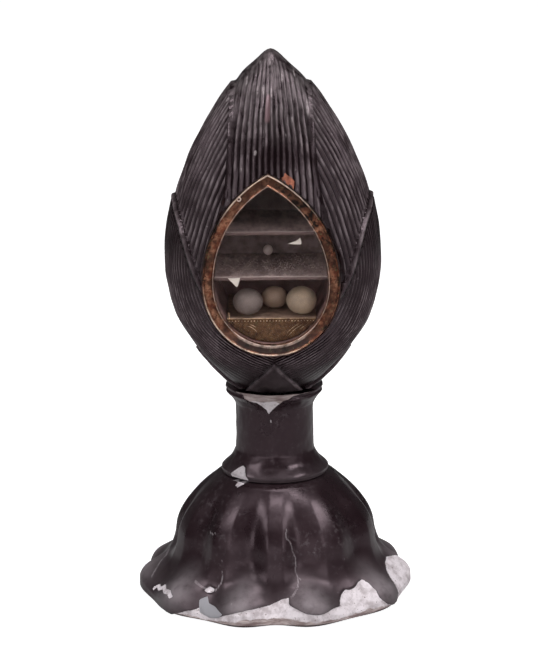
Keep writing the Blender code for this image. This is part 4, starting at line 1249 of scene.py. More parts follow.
def carving_tree():
    """Cuts the veins into the petals and lets the hand of the carver show."""
    tree, start = new_tree("carved veins", {
        "Depth": 0.0005,
        "Roundness": 1.2,
        "Depth Variation": 0.5,
        "Gap Depth": 0.0004,
        "Wander": 0.0003,
        "Wander Scale": 130.0,
    })
    fold = calc("PINGPONG", named(tree, "vein"), 0.5) * 2.0
    vary = noise_value(tree, 260.0, 1.0) * start["Depth Variation"] + 1.0
    depth = fold ** start["Roundness"] * named(tree, "vein_depth") * start["Depth"] * vary
    depth = named(tree, "gap") * start["Gap Depth"] + depth
    ridged = marked(tree, start["Geometry"], "ridge", (1.0 - fold) * named(tree, "vein_depth"))
    place = {0: get(tree, "GeometryNodeInputPosition"), 1: (1.0, 1.0, 0.0)}
    level = get(tree, "ShaderNodeVectorMath", place, operation="MULTIPLY")
    outward = get(tree, "ShaderNodeVectorMath", {0: level}, operation="NORMALIZE")
    cut = pushed(tree, ridged, outward, depth * -1.0)
    wander = get(tree, "ShaderNodeTexNoise", {"Scale": start["Wander Scale"], "Detail": 1.0}, "Color")
    centred = get(tree, "ShaderNodeVectorMath", {0: wander, 1: (0.5, 0.5, 0.5)}, operation="SUBTRACT")
    strayed = pushed(tree, cut, centred, start["Wander"] * named(tree, "loose"))
    return end_tree(tree, start, strayed)


def drop_rings(steps, arch_steps=10, bowl_steps=10):
    """Drop outlines one behind the other, from steps of (inset, y), and the points in each."""
    vertices = []
    for inset, y in steps:
        x, z = drop_outline(inset, arch_steps, bowl_steps)
        vertices.extend(zip(x, np.full(len(x), y), z))
    return vertices, len(x)


def drop_body(name, steps, material, arch_steps=10, bowl_steps=10):
    """A body along Y between drop outlines, front to back, closed at both ends."""
    vertices, columns = drop_rings(steps, arch_steps, bowl_steps)
    faces = grid_faces(len(steps), columns, (False, True), flip=True)
    faces.append(tuple(reversed(range(columns))))
    faces.append(tuple(range(len(vertices) - columns, len(vertices))))
    return plain_object(name, vertices, faces, (material,))


RIDGE_WEAR_AND_HIGHLIGHT = (0.170, 0.138, 0.147)
RIDGE_WORN = (0.290, 0.250, 0.257)
VALLEY_SHADE_BLACK = (0.0085, 0.0044, 0.0052)
PETAL_BLACK = (0.0200, 0.0115, 0.0138)
TERRACOTTA = (0.42, 0.150, 0.090)
TERRACOTTA_DARK = (0.16, 0.06, 0.04)
STUMP_RED = (0.17, 0.105, 0.115)
TERRACOTTA_CHIP = ((5, 103.0), (7.6, 103.3), (8.7, 104.5), (10, 103.7), (12.8, 103.3), (15.2, 102.2),
                   (14.2, 101.0), (12, 101.6), (9.4, 102.2), (6.5, 102.6))
# Pale flecks and scratches near the tip: azimuth in degrees, height, length and width in millimetres
FLECKS = (
    (-38, 126.9, 1.2, 0.5), (-5, 127.3, 1.6, 0.5), (20, 124.0, 1.6, 0.6), (0, 121.2, 2.4, 0.5),
    (55, 124.7, 1.6, 0.6), (-21, 121.6, 1.6, 0.5), (-12, 117.3, 1.2, 0.5), (-23, 114.4, 1.0, 0.5),
    (21, 115.3, 1.2, 0.5), (-59, 119.1, 3.0, 0.6), (44, 117.6, 3.6, 0.7), (-13, 108.4, 1.2, 0.7),
    (12, 111.8, 1.0, 0.4), (-12, 121.6, 2.0, 0.6), (48, 114.6, 1.6, 0.6), (-48, 123.2, 2.0, 0.5),
)
# A vein that has broken off: azimuths and heights of what is left of it, and of the gap below
BROKEN_VEIN = (-8.0, -1.0, 114.8, 120.8)
VEIN_GAP = (-8.5, -0.5, 110.5, 114.8)
# How far such a field fades out: in degrees, and in millimetres below and above
FIELD_FADE = (1.5, 0.2, 0.3)
# Where the ridges above the window are painted less grey: azimuth, its spread, height, its spread
LESS_GREY_FIELD = (-2.0, 19.0, 107.0, 10.5)


def carved_lacquer():
    """Lacquer with painted shade that darkens the cuts, and a dusty grey on ridges and rims from wear and
    painted highlight.
    """
    material, tree, sockets = new_material("carved lacquer", LACQUER)
    # Painted highlight and wear: ridges and rims are painted a patchy, streaked grey; the valleys are painted
    # a deeper black as shade.
    shown = calc("MAXIMUM", step_up(attribute(tree, "ridge"), 0.34, 0.90), attribute(tree, "rim") * 0.8)
    rubbed = speckle(tree, 150.0, 0.50, 0.18) * 0.95 + 0.15
    streaked = speckle(tree, 800.0, 0.50, 0.14, (1.0, 1.0, 0.10)) * 1.15 + 0.20
    grey = calc("MULTIPLY", shown * rubbed, streaked, clamp=True)
    grey = grey * (attribute(tree, "spared") * -0.85 + 1.0)
    at_base = step_up(attribute(tree, "layer"), 3.4, 3.9) * speckle(tree, 260.0, 0.6, 0.3)
    grey = calc("MAXIMUM", grey, at_base * 0.24)
    colour = blend(grey, blend(shown, VALLEY_SHADE_BLACK, PETAL_BLACK), RIDGE_WEAR_AND_HIGHLIGHT)
    scuffed = attribute(tree, "tip") * speckle(tree, 620.0, 0.52, 0.16, (1.0, 1.0, 0.22))
    scuffed = scuffed * (shown * 0.65 + 0.35)
    colour = blend(scuffed * 0.80, colour, RIDGE_WORN)
    nicks = speckle(tree, 640.0, 0.07, 0.03) * (shown * 0.8 + 0.1)
    flecks = step_up(attribute(tree, "fleck"), 0.25, 0.6) * speckle(tree, 1300.0, 0.72, 0.1)
    colour = blend(calc("MAXIMUM", nicks, flecks) * 0.8, colour, RIDGE_WORN)
    colour = blend(step_up(attribute(tree, "stump"), 0.2, 0.8) * 0.8, colour, STUMP_RED)
    chip = step_up(attribute(tree, "chip"), -0.03, 0.06)
    clay = blend(speckle(tree, 600.0, 0.5, 0.2), TERRACOTTA, TERRACOTTA_DARK)
    feed(sockets["Base Color"], blend(chip, colour, clay))
    feed(sockets["Roughness"], mixed(chip, scuffed * 0.20 + (grey * 0.16 + 0.27), 0.9))
    relief(tree, sockets, 1500.0, 3.0, 0.00005, 0.5)
    return material


NICHE_BLACK = (0.240, 0.132, 0.130)
NICHE_DUST = (0.380, 0.245, 0.235)
UPPER_SHADE_BLACK = (0.135, 0.085, 0.083)
UPPER_DUST = (0.370, 0.270, 0.265)
# Heights of the two shelves, where the look of the back wall changes
SHELF_HEIGHTS = (0.0785, 0.0905)


def niche_lacquer():
    """Dull dark lacquer with a film of dust, more mottled above the middle shelf, where painted shade darkens
    it upwards and again above the upper shelf.
    """
    material, tree, sockets = new_material("niche lacquer", {"Roughness": 0.7})
    place = get(tree, "ShaderNodeTexCoord", output="Object")
    height = get(tree, "ShaderNodeSeparateXYZ", {0: place}, "Z")
    middle, upper = SHELF_HEIGHTS
    colour = blend(speckle(tree, 240.0, 0.46, 0.2), NICHE_BLACK, NICHE_DUST)
    # Painted shade: above the middle shelf the wall is painted darker towards the shelf over it, and darker
    # again above the upper shelf.
    upper_dust_and_shade = (speckle(tree, 420.0, 0.50, 0.22) * 0.80 + 0.15) * (step_up(height, middle, upper) * -0.35 + 1.0)
    upper_dust_and_shade = upper_dust_and_shade * (step_up(height, upper, upper + 0.0005) * -0.45 + 1.0)
    above = step_up(height, middle - 0.0005, middle)
    feed(sockets["Base Color"], blend(above, colour, blend(upper_dust_and_shade, UPPER_SHADE_BLACK, UPPER_DUST)))
    return material


vertices, faces, marks = close_bud(*bud_blank())
vertices = np.array(vertices)
vertices[:, 0] -= BUD_LEFT_LEAN * ((vertices[:, 2] - BUD_BOTTOM) / BUD_HEIGHT) ** 2
bud = plain_object("carved_bud", vertices, faces)
heights = vertices[:, 2]
levels = TO_MILLIMETRES * heights
azimuths = np.degrees(np.arctan2(vertices[:, 0], -vertices[:, 1]))
arc = np.radians(azimuths) * core_radius(np.clip(heights, BUD_BOTTOM, BUD_TOP - 0.002))
from_window = -signed_distance(np.column_stack(drop_outline(0.0, 24, 24)), vertices[:, (0, 2)])
near_window = np.where(vertices[:, 1] < 0, ramp(from_window, 0.0, STEADY_AT_WINDOW), 1.0)
near_ends = ramp(heights, BUD_BOTTOM, BUD_BOTTOM + STEADY_AT_BOTTOM)
near_ends *= ramp(-heights, -BUD_TOP, STEADY_AT_TIP - BUD_TOP)
chip_scale = math.radians(CHIP_RADIUS)
chip_places = np.column_stack((azimuths, heights)) * (chip_scale, 1.0)
fleck = np.zeros(len(heights))
for azimuth, height, length, width in FLECKS:
    reach = core_radius(np.array(0.001 * height))
    beside = (arc - math.radians(azimuth) * reach) / (0.0005 * width)
    fleck = np.maximum(fleck, np.exp(-beside ** 2 - ((levels - height) / (0.5 * length)) ** 2))
middle, spread_across, level, spread_up = LESS_GREY_FIELD


def within(left, right, low, high):
    """1 in a field of azimuths and heights on the bud's front, fading over its border."""
    aside, below, above = FIELD_FADE
    across = np.minimum(ramp(azimuths, left, left + aside), ramp(-azimuths, -right, aside - right))
    up = np.minimum(ramp(levels, low - below, low + below), ramp(-levels, -high - above, above - high))
    return across * up


store(
    bud.data,
    **marks,
    loose=near_window * near_ends,
    chip=TO_MILLIMETRES * signed_distance(np.multiply(TERRACOTTA_CHIP, (chip_scale, 0.001)), chip_places),
    tip=ramp(heights, *(BUD_TOP - depth for depth in WORN_TIP)),
    fleck=fleck,
    stump=within(*BROKEN_VEIN),
    gap=within(*VEIN_GAP),
    spared=np.exp(-((azimuths - middle) / spread_across) ** 2) * np.exp(-((levels - level) / spread_up) ** 2),
)
run_tree(bud, carving_tree(), {
    "Depth": VEIN_DEPTH,
    "Roundness": 1.25,
    "Depth Variation": 0.9,
    "Wander": 0.0006,
    "Material": carved_lacquer(),
})
niche_cutter = drop_body("niche_cutter", (
    (-CLEARANCE, -2 * BUD_RADIUS),
    (-CLEARANCE, FRAME_BACK + CLEARANCE),
    (GLASS_INSET - CLEARANCE, FRAME_BACK + CLEARANCE),
    (GLASS_INSET - CLEARANCE, NICHE_FRONT),
    (NICHE_INSET, NICHE_FRONT),
    (NICHE_INSET, NICHE_BACK),
), niche_lacquer())
hollow = bud.modifiers.new("niche", "BOOLEAN")
hollow.solver = "MANIFOLD"
hollow.material_mode = "TRANSFER"
hollow.object = niche_cutter
keep_result(bud)
bpy.data.objects.remove(niche_cutter)
bud.data.shade_smooth()
bud.data.set_sharp_from_angle(angle=SHARP_ANGLE)
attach(bud, "root")
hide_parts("bud")

# The window frame: a raised ring of gilded copper that follows the drop, with a bead round its
# outer edge and a thin lip against the pane. The gilding is rubbed to copper and darkened.
# It was bent from strip, joined at the point, and sits in a rebate; a small loop stands on it.

FRAME_ARCH_STEPS = 84
FRAME_BOWL_STEPS = 70
# Across the frame in millimetres: inset from its outer edge, and depth behind its foremost point
FRAME_SECTION = (
    (0.02, 1.70), (0.02, 1.10), (0.00, 0.55), (0.03, 0.28), (0.10, 0.12), (0.20, 0.06), (0.32, 0.10),
    (0.42, 0.24), (0.52, 0.42), (0.75, 0.52), (1.05, 0.56), (1.40, 0.57), (1.75, 0.54), (2.02, 0.46),
    (2.16, 0.32), (2.26, 0.18), (2.38, 0.10), (2.52, 0.12), (2.62, 0.24), (2.68, 0.46), (2.70, 0.90),
    (2.70, 1.70), (1.80, 1.70), (0.90, 1.70),
)
LOOP_PLACE = (-0.0076, FRAME_FRONT + 0.00016, 0.0984)
LOOP_RADIUS = 0.00042
LOOP_WIRE = 0.00015
LOOP_TURNS = 20
LOOP_SIDES = 8

GILT = (0.74, 0.52, 0.34)
LIP_HIGHLIGHT_PINK = (0.80, 0.62, 0.54)
RECESS_SHADE_RED = (0.040, 0.011, 0.009)
DUST_BROWN = (0.50, 0.345, 0.275)
FRAME_COPPER = (0.43, 0.200, 0.120)
COPPER_RED = (0.17, 0.048, 0.026)
COPPER_DARK = (0.045, 0.020, 0.014)
CRUST = (0.020, 0.013, 0.011)
VERDIGRIS = (0.17, 0.175, 0.085)


def worn_tree():
    """Lets a smooth blank lean in and out a little, as hand work that has aged does."""
    tree, start = new_tree("worn surface", {
        "Dent Depth": 0.0001,
        "Dent Scale": 300.0,
        "Grain Depth": 0.00002,
        "Grain Scale": 1500.0,
    })
    dents = noise_value(tree, start["Dent Scale"], 1.0) * start["Dent Depth"] - start["Dent Depth"] * 0.35
    grain = noise_value(tree, start["Grain Scale"], 2.0) * start["Grain Depth"]
    normal = get(tree, "GeometryNodeInputNormal")
    return end_tree(tree, start, pushed(tree, start["Geometry"], normal, dents + grain))


def gilt_copper(name, bare, red, dark):
    """Gilding left on the raised edges, red copper on the flat, dark crust and a little green."""
    material, tree, sockets = new_material(name, {})
    recess, crusted = attribute(tree, "recess"), attribute(tree, "crusted")
    kept = step_up(attribute(tree, "raised") + speckle(tree, 420.0, 0.42, 0.2) * 0.35, 0.35, 0.95)
    colour = blend(kept, blend(speckle(tree, 520.0, 0.5, 0.12), red, bare), GILT)
    # Painted shade: the channel low on the frame is painted a dark reddish black and made less metallic.
    colour = blend(recess, colour, RECESS_SHADE_RED)
    colour = blend(attribute(tree, "shaded") * 0.80, colour, COPPER_DARK)
    stain = calc("MAXIMUM", speckle(tree, 300.0, dark, 0.12), speckle(tree, 1100.0, 0.30, 0.08))
    colour = blend(stain * 0.85, colour, COPPER_DARK)
    crust = speckle(tree, 750.0, 0.42, 0.08) * crusted
    green = speckle(tree, 1400.0, 0.15, 0.06) * crusted
    colour = blend(green, blend(crust, colour, CRUST), VERDIGRIS)
    # Painted highlight: the lip's line and the bead's glints are painted pale pink and made less metallic.
    lip = attribute(tree, "lip") * (speckle(tree, 620.0, 0.55, 0.14) * 0.75 + 0.25)
    settled = attribute(tree, "settled") * (speckle(tree, 500.0, 0.55, 0.2) * 0.5 + 0.5)
    feed(sockets["Base Color"], blend(settled, blend(lip, colour, LIP_HIGHLIGHT_PINK), DUST_BROWN))
    covered = calc("MAXIMUM", calc("MAXIMUM", lip, settled), recess)
    feed(sockets["Metallic"], 0.85 - covered * 0.55)
    dull = calc("MAXIMUM", calc("MAXIMUM", crust, green), settled)
    feed(sockets["Roughness"], dull * 0.35 + (stain * 0.12 + 0.34))
    relief(tree, sockets, 1700.0, 3.0, 0.00004, 0.7)
    return material


def join_meshes(keeper, others):
    """Put the others' meshes into the keeper's, under its material, and drop the others."""
    form = bmesh.new()
    for part in (keeper, *others):
        form.from_mesh(part.data)
    form.to_mesh(keeper.data)
    form.free()
    keeper.data.polygons.foreach_set("material_index", [0] * len(keeper.data.polygons))
    for part in others:
        bpy.data.objects.remove(part)


WORN = worn_tree()

section = [(0.001 * inset, FRAME_FRONT + 0.001 * back) for inset, back in FRAME_SECTION]
vertices, columns = drop_rings(section, FRAME_ARCH_STEPS, FRAME_BOWL_STEPS)
window_frame = plain_object("gilt_frame", vertices, grid_faces(len(section), columns, (True, True)))
across, behind = np.repeat(FRAME_SECTION, columns, axis=0).T
x, _, z = np.transpose(vertices)
round_it = np.degrees(np.arctan2(x + WINDOW_LEFT_SHIFT, z - WINDOW_Z))
# Degrees from the tip of the frame: the bead keeps bright gilding near it and golden lower down, with a
# painted highlight on both
bright = np.minimum(ramp(round_it, -42, -26), ramp(-round_it, -36, -20))
golden = np.maximum(ramp(-round_it, 88, 112), ramp(round_it, 150, 165))
low_down = np.maximum(ramp(-round_it, 130, 150), ramp(round_it, 130, 150))
bead = (1 - ramp(behind, 0.12, 0.42)) * (across < 1.0)
# Painted highlight: a pale line along the inner lip, wider and stronger low down, and glints on the bead.
lip_start = 2.40 - 0.38 * low_down
inner_lip_highlight = ramp(across, lip_start - 0.08, lip_start) * ramp(-across, -2.60 - 0.06 * low_down, -2.50)
bead_glint = bead * ramp(behind, -0.2, 0.0) * np.maximum(0.9 * bright, 0.60 * golden)
upper_right = ramp(x, -0.002, 0.003) * ramp(z, WINDOW_Z - 0.002, WINDOW_Z + 0.008)
foot_of_frame = ramp(-z, -(WINDOW_Z - 0.010), -(WINDOW_Z - 0.014)) * ramp(across, 0.4, 1.0)
dull_edge = ramp(-across, -1.3, -0.4) * (1 - np.maximum(bright, golden))
on_flat = ramp(across, 0.4, 0.6) * ramp(-across, -2.2, -2.0)
store(
    window_frame.data,
    raised=bead * np.maximum.reduce((np.full(len(x), 0.12), bright, 0.75 * golden)),
    lip=np.maximum(inner_lip_highlight * (0.6 + 0.3 * low_down), bead_glint),
    # Painted shade in the channel low on the frame
    recess=low_down * ramp(across, 0.5, 0.7) * ramp(-across, -1.95, -1.80),
    settled=0.0,
    shaded=ramp(-np.abs(round_it), -34, -14) * on_flat,
    crusted=np.maximum.reduce((np.full(len(x), 0.30), upper_right, 0.9 * foot_of_frame, dull_edge)),
)
run_tree(window_frame, WORN, {
    "Dent Depth": 0.00012,
    "Dent Scale": 420.0,
    "Grain Depth": 0.00005,
    "Grain Scale": 1600.0,
    "Material": gilt_copper("gilt copper", FRAME_COPPER, COPPER_RED, 0.48),
})
angle = np.repeat(2 * math.pi * np.arange(LOOP_TURNS) / LOOP_TURNS, LOOP_SIDES)
around = np.tile(2 * math.pi * np.arange(LOOP_SIDES) / LOOP_SIDES, LOOP_TURNS)
reach = LOOP_RADIUS + LOOP_WIRE * np.cos(around)
ring = np.column_stack((reach * np.cos(angle), LOOP_WIRE * np.sin(around), reach * np.sin(angle)))
loop = plain_object("loop", LOOP_PLACE + ring, grid_faces(LOOP_TURNS, LOOP_SIDES, (True, True)))
# The loop is painted all over in the pale pink of the painted highlight.
store(loop.data, lip=1.0)
join_meshes(window_frame, (loop,))
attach(window_frame, "root")
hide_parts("window_frame")

# The pane: a thin sheet of old clear glass, cut to the drop and held behind the frame's lip.
# It is a little wavy, and lets the light of the studio through to the relics.

PANE_LOW, PANE_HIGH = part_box("window_glass")


def clear_glass():
    """Clear glass, hardly bent by its waves, that casts next to no shadow."""
    material, tree, sockets = new_material("pane", {
        "Base Color": (1.0, 0.985, 0.97, 1.0), "Roughness": 0.03, "Transmission Weight": 1.0, "IOR": 1.1,
    })
    relief(tree, sockets, 110.0, 1.0, 0.00003, 0.4)
    surface = Value(tree.nodes["Principled BSDF"].outputs[0])
    clear = get(tree, "ShaderNodeBsdfTransparent", {"Color": (0.96, 0.945, 0.93, 1.0)})
    in_shadow = get(tree, "ShaderNodeLightPath", output="Is Shadow Ray")
    shader = get(tree, "ShaderNodeMixShader", {0: in_shadow, 1: surface, 2: clear})
    feed(tree.nodes["Material Output"].inputs["Surface"], shader)
    return material


pane = drop_body("pane", ((GLASS_INSET, PANE_LOW.y), (GLASS_INSET, PANE_HIGH.y)), clear_glass(), 60, 50)
pane.data.shade_flat()
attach(pane, "root")
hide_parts("window_glass")

# The shelves: two thin lacquered boards across the niche, pushed in from the front. The middle one
# carries a thick film of grey dust with crumbs in it, and the upper one only a little.
# Two thin pale scraps hang from their front edges, close behind the pane.

BOARD_COLUMNS = 64
BOARD_ROWS = 72
BOARD_EDGE = 0.00018
BOARD_BORDER = 0.0008
FITTINGS_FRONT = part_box("shelf_middle")[0].y
DUST_GREY = (0.480, 0.368, 0.364)
BOARD_BLACK = (0.125, 0.080, 0.078)
EDGE_GREY = (0.33, 0.265, 0.26)
SCRAP_WHITE = (0.64, 0.57, 0.54)
SCRAP_YELLOWED = (0.66, 0.62, 0.56)
SCRAP_THICKNESS = 0.00007
SCRAP_PLACE = FITTINGS_FRONT - 0.00012
# Corners of each scrap, in millimetres, across and up the plane behind the pane
PALE_SCRAPS = (
    ((-10.4, 79.55), (-9.0, 79.5), (-7.6, 79.6), (-7.75, 78.9), (-8.0, 78.0), (-8.3, 77.4), (-9.0, 78.0)),
    ((3.5, 87.5), (4.4, 87.8), (5.3, 88.05), (5.9, 88.5), (6.2, 88.85), (6.45, 88.0), (6.45, 87.3),
     (5.0, 87.25)),
)


def grains(tree, points, radius, seed, smallest, largest, power=1.0):
    """Small round grains of random size on points."""
    grain = get(tree, "GeometryNodeMeshIcoSphere", {"Radius": radius, "Subdivisions": 1})
    values = {2: smallest, 3: largest, "Seed": seed}
    size = get(tree, "FunctionNodeRandomValue", values, 1, data_type="FLOAT") ** power
    return get(tree, "GeometryNodeInstanceOnPoints", {"Points": points, "Instance": grain, "Scale": size})


def dust_tree():
    """Heaps dust on the marked top of a board and strews crumbs over it."""
    tree, start = new_tree("dusty board", {
        "Dust Depth": 0.0003,
        "Dust Scale": 420.0,
        "Crumbs": 400000.0,
        "Crumb Size": 0.00016,
        "Seed": 3,
    })
    top = named(tree, "top")
    heap = calc("MAXIMUM", noise_value(tree, start["Dust Scale"], 3.0, 0.6) + 0.12, 0.0)
    lift = get(tree, "ShaderNodeCombineXYZ", {"Z": heap * 2.0 * start["Dust Depth"] * top})
    heaped = get(tree, "GeometryNodeSetPosition", {"Geometry": start["Geometry"], "Offset": lift})
    values = {"Mesh": heaped, "Density": start["Crumbs"] * top, "Seed": start["Seed"]}
    strewn = get(tree, "GeometryNodeDistributePointsOnFaces", values)
    crumbs = grains(tree, strewn, start["Crumb Size"], start["Seed"], 0.25, 1.0, 2.0)
    joined = add(tree, "GeometryNodeJoinGeometry", {0: crumbs})
    feed(joined.inputs[0], heaped)
    return end_tree(tree, start, Value(joined.outputs[0]))


def dusty_board():
    """Dark lacquer under mottled grey dust, with a pale line along the front edge."""
    material, tree, sockets = new_material("dusty board", {"Roughness": 0.85})
    mottled = speckle(tree, 520.0, 0.50, 0.16, (1.0, 0.28, 1.0)) * 0.62 + 0.38
    colour = blend(mottled * attribute(tree, "dust"), BOARD_BLACK, DUST_GREY)
    feed(sockets["Base Color"], blend(attribute(tree, "edge"), colour, EDGE_GREY))
    return material


def pale_scrap_surface():
    """Plain pale white, mottled a little with a yellower white."""
    material, tree, sockets = new_material("pale scrap", {"Roughness": 0.9})
    feed(sockets["Base Color"], blend(speckle(tree, 900.0, 0.4, 0.3), SCRAP_WHITE, SCRAP_YELLOWED))
    return material


DUSTY = dust_tree()
BOARD = dusty_board()


def make_board(name, node, dust, values):
    """A board the size of a CAD shelf, its top marked for the dust and its front edge for a pale line."""
    low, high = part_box(node)
    across = np.linspace(low.x, high.x, BOARD_COLUMNS + 1)
    back = np.linspace(low.y, high.y, BOARD_ROWS + 1)
    section = [(low.y, low.z), (low.y, high.z - BOARD_EDGE)]
    section.append((low.y + 0.3 * BOARD_EDGE, high.z - 0.3 * BOARD_EDGE))
    section += [(y, high.z) for y in np.maximum(back, low.y + BOARD_EDGE)]
    y, z = np.repeat(section, len(across), axis=0).T
    sheet_top = np.column_stack((np.tile(across, len(section)), y, z))
    vertices = np.concatenate((sheet_top, [(low.x, high.y, low.z), (high.x, high.y, low.z)]))
    faces = grid_faces(len(section), len(across), flip=True)
    front, *_, back_edge = np.arange(len(sheet_top)).reshape(len(section), -1).tolist()
    left = list(range(0, len(sheet_top), len(across)))
    right = list(range(BOARD_COLUMNS, len(sheet_top), len(across)))
    low_left, low_right = len(sheet_top), len(sheet_top) + 1
    faces.append((*front[::-1], low_left, low_right))
    faces.append((*back_edge, low_right, low_left))
    faces.append((*left, low_left))
    faces.append((*right[::-1], low_right))
    board = plain_object(name, vertices, faces)
    board.data.shade_flat()
    x, y, z = vertices.T
    inner = np.minimum.reduce((
        ramp(x, low.x, low.x + BOARD_BORDER),
        ramp(-x, -high.x, BOARD_BORDER - high.x),
        ramp(y, low.y, low.y + BOARD_BORDER),
    ))
    on_top = z > high.z - 0.5 * BOARD_EDGE
    inwards = ramp(y, low.y, low.y + 0.6 * (high.y - low.y))
    store(
        board.data,
        top=inner * on_top,
        dust=(dust + (1 - dust) * inwards) * on_top,
        edge=on_top * (y < low.y + 1.5 * BOARD_EDGE),
    )
    run_tree(board, DUSTY, {**values, "Material": BOARD})
    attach(board, "root")
    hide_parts(node)


make_board("upper_board", "shelf_upper", 0.90, {
    "Dust Depth": 0.00008, "Dust Scale": 500.0, "Crumbs": 60000.0, "Crumb Size": 0.00012, "Seed": 5,
})
make_board("middle_board", "shelf_middle", 0.85, {
    "Dust Depth": 0.00012, "Dust Scale": 420.0, "Crumbs": 1500000.0, "Crumb Size": 0.00024, "Seed": 3,
})

vertices = []
faces = []
for scrap in PALE_SCRAPS:
    x, z = np.transpose(scrap)
    count = len(scrap)
    front = list(range(len(vertices), len(vertices) + count))
    if x @ np.roll(z, -1) < z @ np.roll(x, -1):
        front.reverse()
    for back in (0.0, SCRAP_THICKNESS):
        vertices.extend(zip(0.001 * x, np.full(count, SCRAP_PLACE + back), 0.001 * z))
    faces.append(tuple(front))
    faces.append(tuple(i + count for i in reversed(front)))
    for here, beside in zip(front, front[1:] + front[:1]):
        faces.append((here, here + count, beside + count, beside))
scraps = plain_object("pale_scraps", vertices, faces, (pale_scrap_surface(),))
scraps.data.shade_flat()
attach(scraps, "root")

# The ledge: a sheet of gilded copper bent into a front plate and a tray, which fills the bottom of
# the niche. A row of dots is punched under its rolled edge and a few strokes are chased below.
# It is dusty, and a pin stands at its left end.

LEDGE_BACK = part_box("relic_ledge")[1].y
LEDGE_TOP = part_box("relic_ledge")[1].z
LEDGE_SHEET = 0.0006
LEDGE_EDGE = 0.00016
DOT_SPACING = 0.00070
DOT_RADIUS = 0.00017
# In millimetres: the dots' distance below the edge, and how much shorter the two rows are than it
DOT_DROP = 0.42
DOT_INSET = 0.6
EDGE_INSET = 0.1
PIN_LINE = ((-10.15, 69.3), (-10.2, 71.3))
PIN_DEPTH = 0.0004
STROKE_RADIUS = 0.00006
PIN_RADIUS = 0.00014
LEDGE_COPPER = (0.150, 0.080, 0.044)
LEDGE_RED = (0.110, 0.056, 0.030)
# Chased strokes on the plate in millimetres, across and up
STROKES = (
    ((3.2, 65.7), (4.2, 66.8), (5.4, 67.8), (6.7, 68.55)),
    ((2.9, 66.3), (3.7, 67.2), (4.8, 68.1), (5.9, 68.8)),
    ((-6.3, 68.3), (-5.3, 68.0), (-4.4, 67.4), (-3.8, 66.7)),
    ((-5.6, 68.7), (-4.7, 68.3), (-3.9, 67.8)),
    ((5.9, 67.3), (6.8, 68.0), (7.8, 68.5)),
)


def dotted_tree():
    """Sets small domes at even steps along the edges of a wire."""
    tree, start = new_tree("punched row", {"Spacing": 0.0004, "Dot Radius": 0.0001, "Seed": 2})
    line = get(tree, "GeometryNodeMeshToCurve", {"Mesh": start["Geometry"]})
    dots = get(tree, "GeometryNodeCurveToPoints", {"Curve": line, "Length": start["Spacing"]}, mode="LENGTH")
    return end_tree(tree, start, grains(tree, dots, start["Dot Radius"], start["Seed"], 0.65, 1.1))


def wire_tree():
    """Sweeps a round wire along the edges of a thin guide line, tapered to its ends."""
    tree, start = new_tree("swept wire", {"Radius": 0.0001, "Taper": 0.0})
    line = get(tree, "GeometryNodeMeshToCurve", {"Mesh": start["Geometry"]})
    smooth = get(tree, "GeometryNodeCurveSplineType", {"Curve": line}, spline_type="CATMULL_ROM")
    along = get(tree, "GeometryNodeSplineParameter", output="Factor")
    width = mixed(start["Taper"], 1.0, calc("SINE", along * math.pi))
    section = get(tree, "GeometryNodeCurvePrimitiveCircle", {"Resolution": 8, "Radius": start["Radius"]})
    values = {"Curve": smooth, "Profile Curve": section, "Scale": width, "Fill Caps": True}
    return end_tree(tree, start, get(tree, "GeometryNodeCurveToMesh", values))


def guide_lines(name, lines, y):
    """Thin lines across the plate, given in millimetres across and up."""
    vertices = []
    edges = []
    for line in lines:
        first = len(vertices)
        vertices.extend((0.001 * x, y, 0.001 * z) for x, z in line)
        edges.extend((i, i + 1) for i in range(first, len(vertices) - 1))
    return plain_object(name, vertices, [], edges=edges)


def crossings(inset, z):
    """Left and right ends of the leaning drop outline at a height."""
    x, height = drop_outline(inset, 60, 50)
    right = x > -WINDOW_LEFT_SHIFT
    ends = []
    for side in (~right, right):
        order = np.argsort(height[side])
        ends.append(float(np.interp(z, height[side][order], x[side][order])))
    return ends


ledge_gilt = gilt_copper("dusty gilt copper", LEDGE_COPPER, LEDGE_RED, 0.32)
inset = NICHE_INSET + CLEARANCE
under = LEDGE_TOP - LEDGE_SHEET
left, right = crossings(inset, LEDGE_TOP)
left_low, right_low = crossings(inset, under)
x, z = drop_outline(inset, 60, 50)
bottom = sorted(zip(x[z < under], z[z < under]), key=lambda p: math.atan2(p[0], WINDOW_Z - p[1]))
behind = [(left_low, under), *bottom, (right_low, under)]
front = [(left, LEDGE_TOP), *behind, (right, LEDGE_TOP)]
front_y, back_y = FITTINGS_FRONT, FITTINGS_FRONT + LEDGE_SHEET
vertices = [(x, front_y, z) for x, z in front] + [(x, back_y, z) for x, z in behind]
count = len(front)
tray = len(vertices)
for y in (back_y, LEDGE_BACK):
    vertices += [(left, y, LEDGE_TOP), (right, y, LEDGE_TOP)]
vertices += [(left_low, LEDGE_BACK, under), (right_low, LEDGE_BACK, under)]
faces = [tuple(range(count)), tuple(reversed(range(count, tray)))]
faces += [(i, i + count - 1, i + count, i + 1) for i in range(1, count - 2)]
faces += [
    (0, count - 1, tray + 1, tray), (tray, tray + 1, tray + 3, tray + 2),
    (tray + 2, tray + 3, tray + 5, tray + 4), (tray + 4, tray + 5, tray - 1, count),
    (0, tray, count, 1), (tray, tray + 2, tray + 4, count),
    (count - 1, count - 2, tray - 1, tray + 1), (tray + 1, tray - 1, tray + 5, tray + 3),
]
ledge = plain_object("gilt_ledge", vertices, faces, (ledge_gilt,))
ledge.data.shade_flat()

